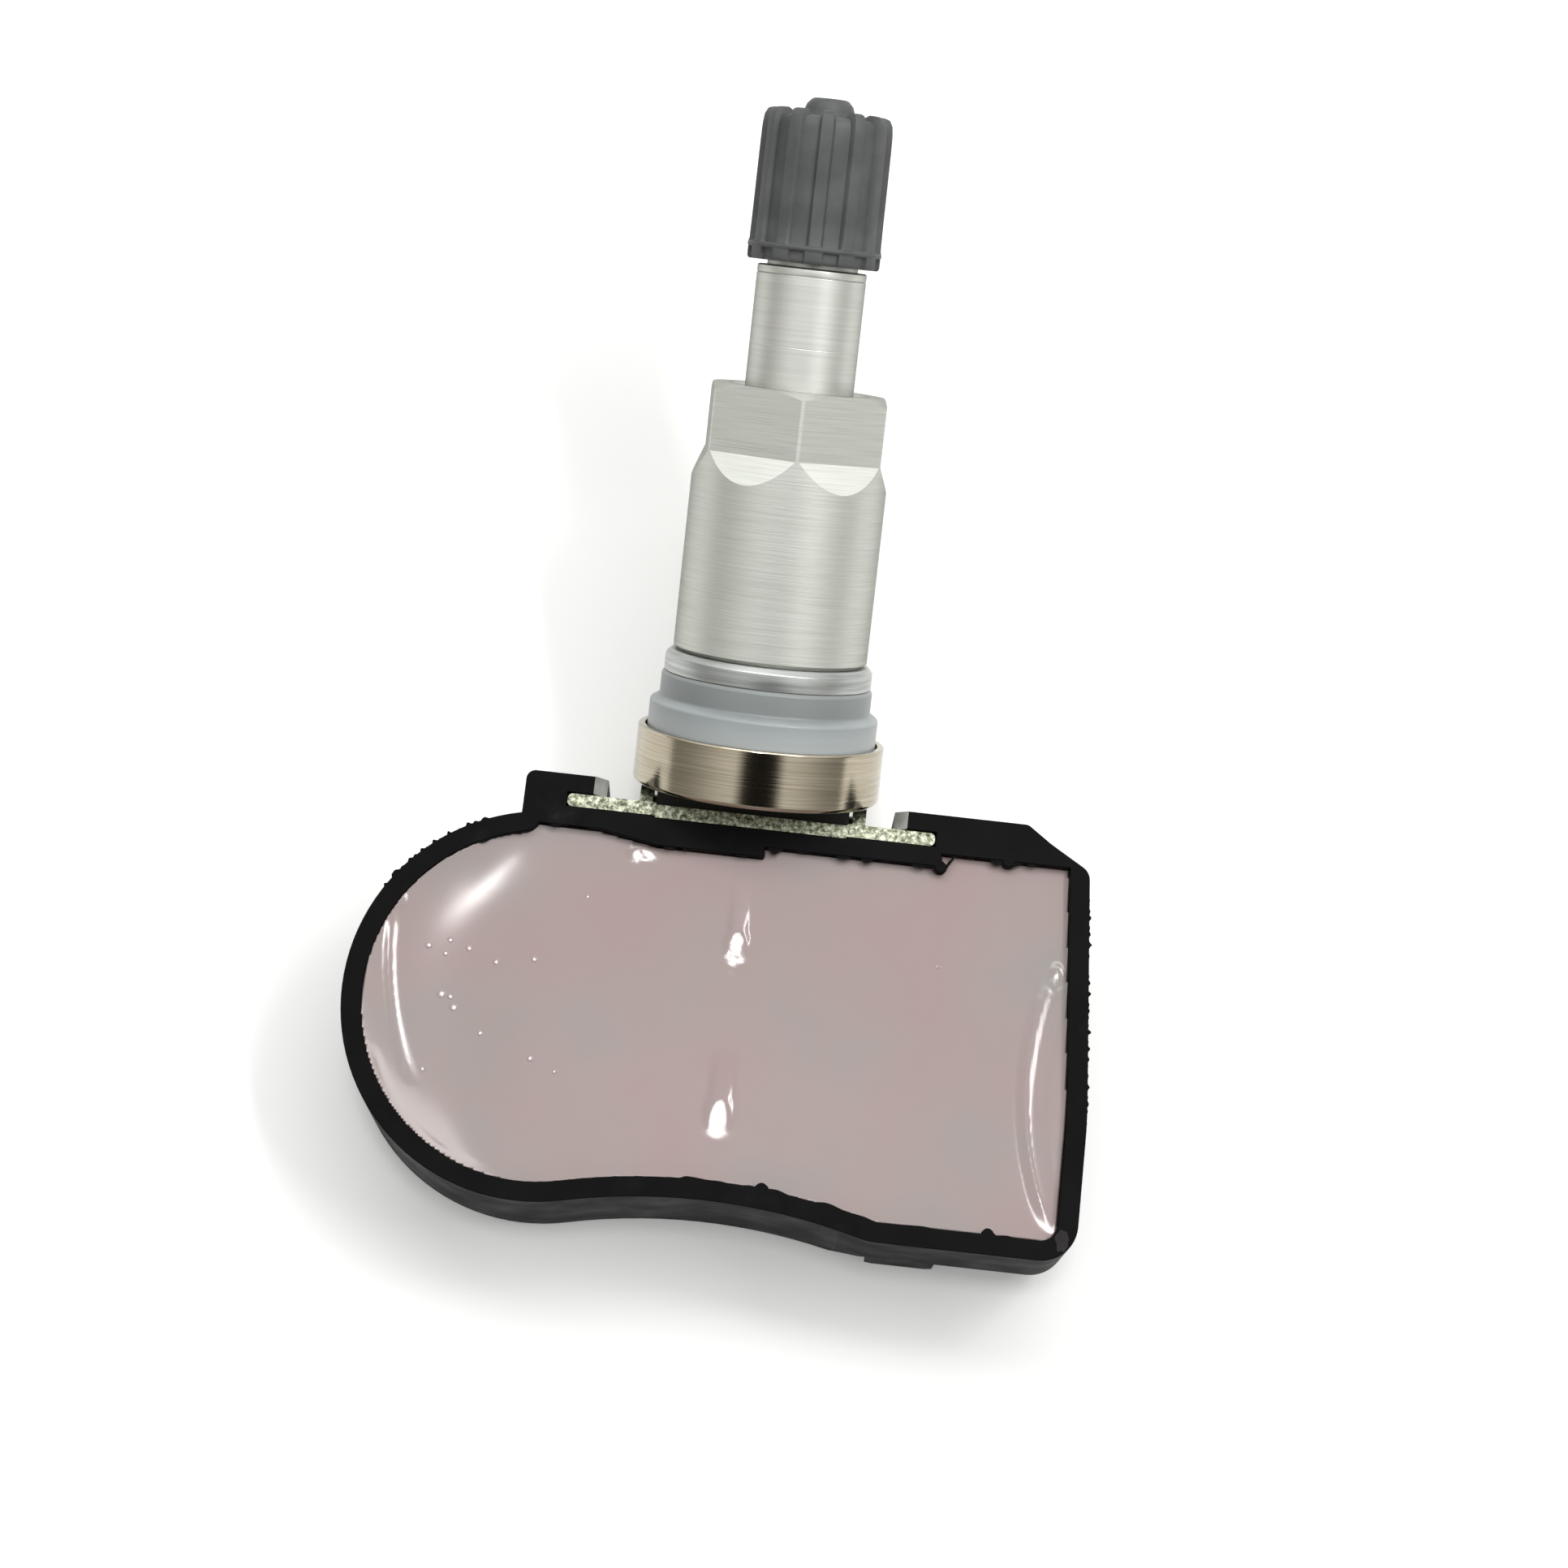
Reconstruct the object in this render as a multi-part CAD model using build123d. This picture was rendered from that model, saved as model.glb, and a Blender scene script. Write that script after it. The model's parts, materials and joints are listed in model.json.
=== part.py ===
from build123d import *
import os
from math import atan2, cos, radians, sin, sqrt, tan

# Tyre pressure sensor with a clamp-in valve, lying on its back with the sealing compound up.
# Millimetres. X across the housing, Y towards the valve, Z up from the back face.
# The origin is on the back face, in the plane of the valve, half way along the housing.

# Housing, seen from above
end_x = -14.1                 # round end over the button cell
waist_x = -0.4                # shallow hollow in the edge away from the valve
waist_radius = 45.8
blend_radius = 5.0            # from the hollow to the straight edge
front_step = 0.13             # straight edge away from the valve, beyond the round end
side_front_x = 27.3           # right side, straight and then leaning in towards the valve
side_bend_y = -5.6
side_bend_radius = 40.0
side_back_x = 25.9
side_back_y = 13.3
front_corner_radius = 2.8
back_corner_radius = 1.2
shoulder_x = 22.8             # hollow slope between right side and rail
shoulder_y = 15.15
shoulder_radius = 4.0
rail_corner_radius = 0.7

# Housing, heights and walls
housing_height = 12.5
wall = 1.5
floor = 1.5
back_edge_chamfer = 0.5
thin_back = 3.7               # the right part is shallower by this much
ramp_start_x = 9.0
ramp_end_x = 12.3
foot_x = 14.9                 # foot under the shallow part
foot_width = 5.2
foot_length = 9.0
foot_setback = 0.05           # from the straight edge
foot_chamfer = 0.5            # at its two ends
ledge = 0.8                   # shelf that carries the circuit board
board_z = 8.2
pad_left_x = -6.8             # thicker stretch of the wall behind the bracket
pad_taper = 4.5               # it grows slowly from the left
pad_right_x = 1.2
pad_depth = 0.78
bay_x = 14.6                  # the compound reaches further back beside the bracket
bay_depth = 1.0
rib_radius = 0.45             # upright ribs that locate the circuit board
back_rib_x = 19.7
front_rib_x = 20.7
waist_rib_x = 3.8
port_radius = 0.9             # pressure inlet in the back
port_x = 15.5
port_y = 3.0

# Bracket, slid into the rails from above
plate_y = 15.0                # outer face
plate_thickness = 1.0
plate_width = 28.0
plate_height = 11.0
plate_recess = 0.2            # below the rim
plate_end_radius = 0.4
joggle = 0.15                 # the middle of the plate is set in by this much
joggle_half_width = 7.3
slot_clearance = 0.06
ear_gap = 15.4                # between the two folded ears
ear_thickness = 1.0
ear_radius = 1.9
ear_bend_radius = 0.6
window_clearance = 0.25

# Rails that hold the ends of the bracket
rail_thickness = 1.4
rail_left_x = -17.3
rail_left_tip_x = -11.1
rail_right_x = 20.95
rail_right_tip_x = 10.8
rail_tip_lead = 1.0           # sloped lead-in at each rail's tip
rail_tip_drop = 0.8

# Pivot between bracket and valve
stem_angle = 23.94            # of the valve above the back face
pivot_forward = 0.74          # in front of the plate's outer face
pivot_z = 7.83
pivot_to_collar = 2.2
pin_radius = 1.0
pin_chamfer = 0.2
pivot_clearance = 0.05
tongue_clearance = 0.3
tongue_radius = 1.6

# Valve, heights measured along the stem from the collar's underside
collar_radius = 9.48
collar_height = 4.47
collar_chamfer = 0.25
cup_wall = 0.53
cup_depth = 0.9
spigot_radius = 4.5
spigot_length = 2.2
air_chamber = 0.5
air_chamber_radius = 4.0
air_hole_radius = 0.6
air_hole_offset = 2.9
grommet_low_radius = 8.78
grommet_low_height = 2.0      # above the collar
grommet_step = 0.38
grommet_top_radius = 8.1
grommet_top_height = 1.9
grommet_edge = 0.2
stem_radius = 5.0
stem_thick_length = 18.0
neck_radius = 4.13
neck_length = 8.79            # shows above the nut
neck_chamfer = 0.25
thread_radius = 3.85
thread_length = 10.0
thread_chamfer = 0.4
air_bore_radius = 1.5
press_gap = 0.01              # between pieces pressed together
seat_gap = 0.02               # between pieces that sit on each other
thread_gap = 0.1

# Clamp washer and nut
washer_radius = 7.95
washer_thickness = 1.66
washer_chamfer = 0.4
nut_radius = 7.43
nut_length = 20.45
nut_chamfer = 0.3
hex_across_flats = 13.0
hex_height = 5.05
hex_runout = 2.15             # sloped end of each flat
hex_turn = 3.8                # of the upper corner away from the middle, in degrees
hex_chamfer_angle = 30.0

# Dust cap
cap_wall_radius = 4.55
cap_rib_radius = 4.95
cap_rib_width = 1.1
cap_ribs = 12
cap_lip_radius = 5.05
cap_lip_height = 0.25
cap_band_radius = 4.8
cap_band_height = 1.26
cap_block_radius = 5.0
cap_block_width = 1.35
cap_neck_gap = 0.35           # between the stem's shoulder and the cap
cap_roof = 0.62
cap_roof_edge = 0.55
cap_rib_rise = 0.45           # rib ends above the roof
cap_button_radius = 1.87
cap_button_height = 1.4
cap_button_edge = 0.45
cap_gasket_thickness = 0.55
cap_gasket_inner_radius = 2.6

# Valve core, depths measured down from the stem's tip
core_bore_radius = 2.65
core_bore_depth = 5.5
core_seat_depth = 1.0         # height of the cone below the threaded bore
core_chamber_radius = 2.1
core_chamber_depth = 14.0
core_sink = 0.8               # core's top below the stem's tip
core_plug_radius = 2.55
core_plug_length = 3.9
core_waist_radius = 1.7
core_barrel_radius = 1.85
core_length = 8.2
core_roof = 0.5
core_spring_room_radius = 1.45
core_spring_room = 4.0
core_guide_radius = 0.65
core_seal_height = 1.0
core_seal_gap = 0.05
pin_rod_radius = 0.5
pin_sink = 0.15               # pin's top below the stem's tip
pin_collar_radius = 1.2
pin_collar_height = 0.5
pin_collar_gap = 0.2
poppet_radius = 1.75
poppet_height = 0.5
poppet_seal_height = 0.45
core_wire_radius = 0.14
core_wire_sides = 6           # few faces, as nothing shows of it
core_spring_turns = 5
core_spring_radius = 1.0

# Inside the housing
board_thickness = 1.0
board_gap = 0.2
compound_recess = 0.6         # below the rim
cell_radius = 12.25
cell_height = 5.0
cell_floor_gap = 0.3
cell_side_gap = 0.27          # to the ledge round it
cell_back_gap = 0.79          # to the ledge behind the bracket
cell_rim = 1.6                # insulating ring round the lower cap
cell_step = 0.2
tab_thickness = 0.2
tab_width = 4.0
tab_overlap = 5.0
tab_reach = 0.5               # of the lower tab past the cell
upper_tab_y = 3.0
upper_tab_inset = 3.0
lower_tab_y = -4.5
chip_size = 7.0
chip_height = 2.1
chip_chamfer = 0.25
port_seal_radius = 2.4
coil_x = 16.5
coil_setback = 7.45           # from the straight edge
coil_length = 9.0
coil_width = 3.2
coil_height = 2.8
coil_flange = 1.2
coil_bar_width = 1.6
coil_bar_height = 1.3
coil_wrap = 0.6
crystal_x = 8.6
crystal_setback = 8.45        # from the straight edge
crystal_length = 3.2
crystal_width = 2.5
crystal_height = 0.8
crystal_corner = 0.3
capacitor_x = 6.0
capacitor_y = 5.5
capacitor_length = 1.6
capacitor_width = 0.8
capacitor_height = 0.8
capacitor_pitch_x = 2.6
capacitor_pitch_y = 1.9
capacitor_columns = 2
capacitor_rows = 3

# Places worked out from the sizes above
plate_inner_y = plate_y - plate_thickness
seat_y = plate_inner_y - slot_clearance
rail_inner_y = plate_y + slot_clearance
rail_outer_y = rail_inner_y + rail_thickness
plate_top = housing_height - plate_recess
plate_bottom = plate_top - plate_height
board_top = board_z + board_thickness
compound_top = housing_height - compound_recess
thin_floor_top = thin_back + floor
end_radius = cell_radius + cell_side_gap + ledge + wall
end_y = seat_y - wall - ledge - cell_back_gap - cell_radius
front_y = end_y - end_radius - front_step
waist_reach = end_radius + waist_radius
waist_y = end_y - sqrt(waist_reach**2 - (waist_x - end_x)**2)
pivot_y = plate_y + pivot_forward

cup_radius = collar_radius - cup_wall
cup_floor = collar_height - cup_depth
spigot_bottom = cup_floor - spigot_length
grommet_bottom = cup_floor + seat_gap
grommet_step_low = collar_height + grommet_low_height
grommet_step_high = grommet_step_low + grommet_step
grommet_top = grommet_step_high + grommet_top_height
washer_bottom = grommet_top + seat_gap
washer_top = washer_bottom + washer_thickness
nut_bottom = washer_top + seat_gap
nut_top = nut_bottom + nut_length
hex_bottom = nut_top - hex_height
neck_top = nut_top + neck_length
thread_bottom = neck_top + neck_chamfer
stem_tip = thread_bottom + thread_length
cap_bottom = thread_bottom + cap_neck_gap
cap_gasket_bottom = stem_tip + seat_gap
cap_gasket_top = cap_gasket_bottom + cap_gasket_thickness
cap_ceiling = cap_gasket_top + seat_gap
cap_top = cap_ceiling + cap_roof
cap_bore_radius = thread_radius + thread_gap
bore_radius = stem_radius + thread_gap

core_top = stem_tip - core_sink
core_bottom = core_top - core_length
core_plug_bottom = core_top - core_plug_length
spring_room_top = core_top - core_roof
spring_room_bottom = spring_room_top - core_spring_room
pin_top = stem_tip - pin_sink
pin_collar_top = spring_room_top - pin_collar_gap
pin_collar_bottom = pin_collar_top - pin_collar_height
poppet_seal_top = core_bottom - seat_gap
poppet_top = poppet_seal_top - poppet_seal_height
core_seat_top = stem_tip - core_bore_depth
core_seat_bottom = core_seat_top - core_seat_depth
core_chamber_bottom = stem_tip - core_chamber_depth

cell_bottom = floor + cell_floor_gap
cell_top = cell_bottom + cell_height
chip_bottom = board_z - chip_height
coil_y = front_y + coil_setback
crystal_y = front_y + crystal_setback

stem_direction = (0, cos(radians(stem_angle)), sin(radians(stem_angle)))
collar_centre = (
    0,
    pivot_y + pivot_to_collar * stem_direction[1],
    pivot_z + pivot_to_collar * stem_direction[2],
)
stem_frame = Plane(origin=collar_centre, x_dir=(1, 0, 0), z_dir=stem_direction).location


def block(low, high):
    """Box between two corners."""
    size = [b - a for a, b in zip(low, high)]
    return Pos(*low) * Box(*size, align=(Align.MIN, Align.MIN, Align.MIN))


def turned(points):
    """Solid of revolution about Z from a closed outline of (radius, height) points."""
    outline = Plane.XZ * make_face(Polyline(*points, close=True))
    return revolve(outline, Axis.Z)


def along_y(points, low_y, high_y):
    """Prism along Y from a closed outline of (x, z) points."""
    outline = Pos(0, low_y, 0) * (Plane.XZ * make_face(Polyline(*points, close=True)))
    return extrude(outline, amount=high_y - low_y, dir=(0, 1, 0))


def upright(face, low, high):
    """Prism along Z from a flat outline."""
    return Pos(0, 0, low) * extrude(face, amount=high - low)


def waist_edge_y(x, radius):
    """Height of the hollow edge at x, on a circle of the given radius about its centre."""
    return waist_y + sqrt(radius**2 - (x - waist_x) ** 2)


def housing_outline():
    """Outer edge with the rails: round end, hollow, straight edge, right side, shoulder."""
    end_share = end_radius / waist_reach
    end_join = (
        end_x + end_share * (waist_x - end_x),
        end_y + end_share * (waist_y - end_y),
    )
    blend_reach = waist_radius + blend_radius
    blend_y = front_y + blend_radius
    blend_x = waist_x + sqrt(blend_reach**2 - (blend_y - waist_y) ** 2)
    blend_share = waist_radius / blend_reach
    blend_join = (
        waist_x + blend_share * (blend_x - waist_x),
        waist_y + blend_share * (blend_y - waist_y),
    )
    blend_turn = (atan2(blend_join[1] - blend_y, blend_join[0] - blend_x) - radians(90)) / 2
    blend_middle = (
        blend_x + blend_radius * cos(blend_turn),
        blend_y + blend_radius * sin(blend_turn),
    )
    end_start = (rail_left_x, end_y + sqrt(end_radius**2 - (rail_left_x - end_x) ** 2))
    edges = [
        ThreePointArc(end_start, (end_x - end_radius, end_y), end_join),
        ThreePointArc(end_join, (waist_x, waist_y + waist_radius), blend_join),
        ThreePointArc(blend_join, blend_middle, (blend_x, front_y)),
        FilletPolyline(
            (blend_x, front_y),
            (side_front_x, front_y),
            (side_front_x, side_bend_y),
            (side_back_x, side_back_y),
            (shoulder_x, shoulder_y),
            (rail_right_x, rail_outer_y),
            (rail_left_x, rail_outer_y),
            end_start,
            radius=[
                front_corner_radius,
                side_bend_radius,
                back_corner_radius,
                shoulder_radius,
                rail_corner_radius,
                rail_corner_radius,
            ],
        ),
    ]
    return make_face(edges)


def tray_outline():
    """Outer edge of the tray alone, up to the face that the bracket lies against."""
    reach = 4 * end_radius
    behind = Pos(0, seat_y - reach / 2) * Rectangle(2 * reach, reach)
    return housing_outline() & behind


def ribs(extra):
    """Plan of the upright ribs on the inner walls, grown by a clearance."""
    bay_back_y = seat_y - wall + bay_depth
    centres = [
        (bay_x, seat_y - wall),
        (back_rib_x, bay_back_y),
        (front_rib_x, front_y + wall),
        (waist_rib_x, waist_edge_y(waist_rib_x, waist_radius + wall)),
    ]
    return Sketch() + [Pos(*centre) * Circle(rib_radius + extra) for centre in centres]


def side_wall_x(y, inset):
    """Right inner wall at y, inset from the leaning side."""
    lean = (side_back_x - side_front_x) / (side_back_y - side_bend_y)
    return side_front_x + lean * (y - side_bend_y) - inset * sqrt(1 + lean**2)


def opening(inset):
    """Plan of the tray's mouth, inset from its walls: pad, bay and ribs included."""
    mouth = offset(tray_outline(), -(wall + inset))
    back_y = seat_y - wall - inset
    bay_low = back_y - bay_depth
    bay_high = back_y + bay_depth
    bay = make_face(
        Polyline(
            (bay_x + inset, bay_low),
            (side_wall_x(bay_low, wall + inset), bay_low),
            (side_wall_x(bay_high, wall + inset), bay_high),
            (bay_x + inset, bay_high),
            close=True,
        )
    )
    pad = make_face(
        Polyline(
            (pad_left_x - pad_taper, back_y),
            (pad_left_x, back_y - pad_depth),
            (pad_right_x + inset, back_y - pad_depth),
            (pad_right_x + inset, back_y + pad_depth),
            (pad_left_x - pad_taper, back_y + pad_depth),
            close=True,
        )
    )
    return mouth + bay - pad - ribs(inset)


def ramp(rise, bottom):
    """Wedge under the shallow right part, lifted by rise."""
    far_x = side_front_x + wall
    return along_y(
        [
            (ramp_start_x, bottom),
            (ramp_start_x, rise),
            (ramp_end_x, thin_back + rise),
            (far_x, thin_back + rise),
            (far_x, bottom),
        ],
        front_y - wall,
        rail_outer_y + wall,
    )


def rail_lead(tip_x, into):
    """Wedge off the upper corner of a rail's tip; into is the way the rail runs from its tip."""
    return along_y(
        [
            (tip_x, housing_height - rail_tip_drop),
            (tip_x + into * rail_tip_lead, housing_height),
            (tip_x, housing_height),
        ],
        rail_inner_y,
        rail_outer_y,
    )


def housing_shell():
    """Moulded tray with rails, raised shallow part, foot, ledge and pressure inlet."""
    body = extrude(housing_outline(), amount=housing_height)
    back_edges = body.faces().sort_by(Axis.Z)[0].edges()
    body = chamfer(back_edges, back_edge_chamfer)
    body -= ramp(0, -floor)
    half_foot = foot_width / 2
    foot_top = thin_back + floor / 2
    body += along_y(
        [
            (foot_x - half_foot, foot_top),
            (foot_x - half_foot, foot_chamfer),
            (foot_x - half_foot + foot_chamfer, 0),
            (foot_x + half_foot - foot_chamfer, 0),
            (foot_x + half_foot, foot_chamfer),
            (foot_x + half_foot, foot_top),
        ],
        front_y + foot_setback,
        front_y + foot_setback + foot_length,
    )
    body -= upright(opening(0), board_z, housing_height)
    lower_room = upright(offset(tray_outline(), -(wall + ledge)), floor, board_z)
    body -= lower_room - ramp(floor, 0)
    body -= block(
        (rail_left_tip_x, seat_y, 0),
        (rail_right_tip_x, rail_outer_y, housing_height),
    )
    half_slot = plate_width / 2 + slot_clearance
    body -= block(
        (-half_slot, seat_y, plate_bottom),
        (half_slot, rail_inner_y, housing_height),
    )
    half_joggle = joggle_half_width + slot_clearance
    body -= block(
        (-half_joggle, seat_y - joggle, 0),
        (half_joggle, rail_inner_y, housing_height),
    )
    body -= rail_lead(rail_left_tip_x, -1)
    body -= rail_lead(rail_right_tip_x, 1)
    body -= Pos(port_x, port_y, thin_floor_top / 2) * Cylinder(port_radius, thin_floor_top)
    return body


def sealing_compound():
    """Cast layer over the circuit board, out to the walls."""
    return upright(opening(seat_gap), board_top, compound_top)


def circuit_board():
    """Board on the ledge, notched round the pad and the ribs."""
    return upright(opening(board_gap), board_z, board_top)


def button_cell():
    """Lithium button cell with its lower cap and the insulating ring round it."""
    outline = [
        (0, cell_bottom),
        (cell_radius - cell_rim, cell_bottom),
        (cell_radius - cell_rim, cell_bottom + cell_step),
        (cell_radius - cell_step, cell_bottom + cell_step),
        (cell_radius, cell_bottom + 2 * cell_step),
        (cell_radius, cell_top - cell_step),
        (cell_radius - cell_step, cell_top),
        (0, cell_top),
    ]
    return Pos(end_x, end_y, 0) * turned(outline)


def upper_cell_tab():
    """Strip on the cell's top, bent up to the board."""
    edge_x = end_x + sqrt(cell_radius**2 - (upper_tab_y - end_y) ** 2)
    bend_x = edge_x - upper_tab_inset
    outline = [
        (bend_x - tab_overlap, cell_top),
        (bend_x, cell_top),
        (bend_x, board_z),
        (bend_x - tab_thickness, board_z),
        (bend_x - tab_thickness, cell_top + tab_thickness),
        (bend_x - tab_overlap, cell_top + tab_thickness),
    ]
    return along_y(outline, upper_tab_y - tab_width / 2, upper_tab_y + tab_width / 2)


def lower_cell_tab():
    """Strip under the cell's cap, led past its side and up to the board."""
    far_y = abs(lower_tab_y - end_y) - tab_width / 2
    bend_x = end_x + sqrt(cell_radius**2 - far_y**2) + tab_reach
    under = cell_bottom - tab_thickness
    start_x = end_x + cell_radius - cell_rim - tab_overlap
    outline = [
        (start_x, under),
        (bend_x + tab_thickness, under),
        (bend_x + tab_thickness, board_z),
        (bend_x, board_z),
        (bend_x, cell_bottom),
        (start_x, cell_bottom),
    ]
    return along_y(outline, lower_tab_y - tab_width / 2, lower_tab_y + tab_width / 2)


def sensor_chip():
    """Square package with a pressure hole, under the board over the inlet."""
    half = chip_size / 2
    body = block((port_x - half, port_y - half, chip_bottom), (port_x + half, port_y + half, board_z))
    body = chamfer(body.faces().sort_by(Axis.Z)[0].edges(), chip_chamfer)
    hole = Pos(port_x, port_y, chip_bottom) * Cylinder(port_radius, chip_height)
    return body - hole


def port_seal():
    """Soft ring between the chip and the pressure inlet."""
    ring = turned(
        [
            (port_radius, thin_floor_top),
            (port_seal_radius, thin_floor_top),
            (port_seal_radius, chip_bottom),
            (port_radius, chip_bottom),
        ]
    )
    return Pos(port_x, port_y, 0) * ring


def coil_core():
    """Ferrite bobbin with two end flanges."""
    middle_z = board_z - coil_height / 2
    bar = Box(coil_length, coil_bar_width, coil_bar_height)
    flange = Box(coil_flange, coil_width, coil_height)
    flange_x = (coil_length - coil_flange) / 2
    return Pos(coil_x, coil_y, middle_z) * (bar + Pos(-flange_x) * flange + Pos(flange_x) * flange)


def coil_winding():
    """Copper winding between the flanges."""
    length = coil_length - 2 * coil_flange - 2 * seat_gap
    outside = Box(length, coil_bar_width + 2 * coil_wrap, coil_bar_height + 2 * coil_wrap)
    outside = fillet(outside.edges().filter_by(Axis.X), coil_wrap / 2)
    inside = Box(length, coil_bar_width + 2 * press_gap, coil_bar_height + 2 * press_gap)
    return Pos(coil_x, coil_y, board_z - coil_height / 2) * (outside - inside)


def crystal():
    """Metal can of the quartz crystal."""
    can = Box(crystal_length, crystal_width, crystal_height)
    can = fillet(can.edges().filter_by(Axis.Z), crystal_corner)
    return Pos(crystal_x, crystal_y, board_z - crystal_height / 2) * can


def capacitors():
    """Chip capacitors in a small grid under the board."""
    solids = []
    for column in range(capacitor_columns):
        for row in range(capacitor_rows):
            x = capacitor_x + column * capacitor_pitch_x
            y = capacitor_y - row * capacitor_pitch_y
            place = Pos(x, y, board_z - capacitor_height / 2)
            solids.append(place * Box(capacitor_length, capacitor_width, capacitor_height))
    return Compound(children=solids)


def bracket_ear(side):
    """Ear folded out of the plate, with a bend radius at its root."""
    inner = ear_gap / 2
    outer = inner + ear_thickness
    root = outer + ear_bend_radius
    front = pivot_y + ear_radius
    bend_y = plate_y + ear_bend_radius
    plan = make_face(
        [
            Polyline(
                (root, plate_y),
                (root, plate_inner_y),
                (inner, plate_inner_y),
                (inner, front),
                (outer, front),
                (outer, bend_y),
            ),
            RadiusArc((outer, bend_y), (root, plate_y), -ear_bend_radius),
        ]
    )
    if side < 0:
        plan = mirror(plan, about=Plane.YZ)
    profile = Plane.YZ * (
        Pos(pivot_y, pivot_z) * Circle(ear_radius)
        + Pos((pivot_y + plate_inner_y) / 2, pivot_z)
        * Rectangle(pivot_y - plate_inner_y, 2 * ear_radius)
    )
    reach = extrude(profile, amount=2 * root, both=True)
    return upright(plan, pivot_z - ear_radius, pivot_z + ear_radius) & reach


def mounting_bracket():
    """Galvanised plate with a set-in middle, a window and two folded ears for the pivot pin."""
    half = plate_width / 2
    plate = block((-half, plate_inner_y, plate_bottom), (half, plate_y, plate_top))
    plate = fillet(plate.edges().filter_by(Axis.Z), plate_end_radius)
    plate -= block(
        (-joggle_half_width, plate_y - joggle, plate_bottom),
        (joggle_half_width, plate_y, plate_top),
    )
    plate += block(
        (-joggle_half_width, plate_inner_y - joggle, plate_bottom),
        (joggle_half_width, plate_inner_y, plate_top),
    )
    window_half = ear_radius + window_clearance
    plate -= block(
        (-ear_gap / 2, plate_inner_y - joggle, pivot_z - window_half),
        (ear_gap / 2, plate_y, pivot_z + window_half),
    )
    plate += bracket_ear(-1)
    plate += bracket_ear(1)
    hole = Pos(0, pivot_y, pivot_z) * Rot(0, 90, 0) * Cylinder(pin_radius + press_gap, plate_width)
    return plate - hole


def pivot_pin():
    """Plain pin pressed through both ears."""
    length = ear_gap + 2 * ear_thickness
    pin = Cylinder(pin_radius, length)
    pin = chamfer(pin.edges().filter_by(GeomType.CIRCLE), pin_chamfer)
    return Pos(0, pivot_y, pivot_z) * Rot(0, 90, 0) * pin


def valve_base():
    """Collar with a shallow cup for the grommet, air holes and a tongue for the pivot pin."""
    collar = turned(
        [
            (0, 0),
            (collar_radius - collar_chamfer, 0),
            (collar_radius, collar_chamfer),
            (collar_radius, collar_height - collar_chamfer / 2),
            (collar_radius - collar_chamfer / 2, collar_height),
            (cup_radius, collar_height),
            (cup_radius, cup_floor),
            (spigot_radius + press_gap, cup_floor),
            (spigot_radius + press_gap, spigot_bottom),
            (air_chamber_radius, spigot_bottom),
            (air_chamber_radius, spigot_bottom - air_chamber),
            (0, spigot_bottom - air_chamber),
        ]
    )
    tongue_half = ear_gap / 2 - tongue_clearance
    tongue = block(
        (-tongue_half, -tongue_radius, -pivot_to_collar),
        (tongue_half, tongue_radius, 0),
    )
    barrel = Pos(0, 0, -pivot_to_collar) * Rot(0, 90, 0) * Cylinder(tongue_radius, 2 * tongue_half)
    base = collar + tongue + barrel
    pin_bore = Cylinder(pin_radius + pivot_clearance, 2 * collar_radius)
    base -= Pos(0, 0, -pivot_to_collar) * Rot(0, 90, 0) * pin_bore
    for side in (-1, 1):
        base -= Pos(0, side * air_hole_offset, 0) * Cylinder(air_hole_radius, 2 * spigot_bottom)
    return stem_frame * base


def valve_stem():
    """Turned stem: pressed spigot, thick threaded part, neck, cap thread and the bore for the core."""
    thick_top = cup_floor + stem_thick_length
    outline = [
        (air_bore_radius, spigot_bottom),
        (spigot_radius, spigot_bottom),
        (spigot_radius, cup_floor),
        (stem_radius, cup_floor),
        (stem_radius, thick_top - (stem_radius - neck_radius)),
        (neck_radius, thick_top),
        (neck_radius, neck_top),
        (thread_radius, thread_bottom),
        (thread_radius, stem_tip - thread_chamfer),
        (thread_radius - thread_chamfer, stem_tip),
        (core_bore_radius, stem_tip),
        (core_bore_radius, core_seat_top),
        (core_chamber_radius, core_seat_bottom),
        (core_chamber_radius, core_chamber_bottom),
        (air_bore_radius, core_chamber_bottom),
    ]
    return stem_frame * turned(outline)


def grommet():
    """Sealing grommet: a wide band in the collar's cup, a sloped step and a narrower band."""
    inner = stem_radius + press_gap
    outline = [
        (inner, grommet_bottom),
        (grommet_low_radius - grommet_edge, grommet_bottom),
        (grommet_low_radius, grommet_bottom + grommet_edge),
        (grommet_low_radius, grommet_step_low),
        (grommet_top_radius, grommet_step_high),
        (grommet_top_radius, grommet_top - grommet_edge),
        (grommet_top_radius - grommet_edge, grommet_top),
        (inner, grommet_top),
    ]
    return stem_frame * turned(outline)


def clamp_washer():
    """Flat washer under the nut, with a broken upper edge."""
    outline = [
        (bore_radius, washer_bottom),
        (washer_radius, washer_bottom),
        (washer_radius, washer_top - washer_chamfer),
        (washer_radius - washer_chamfer, washer_top),
        (bore_radius, washer_top),
    ]
    return stem_frame * turned(outline)


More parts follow.
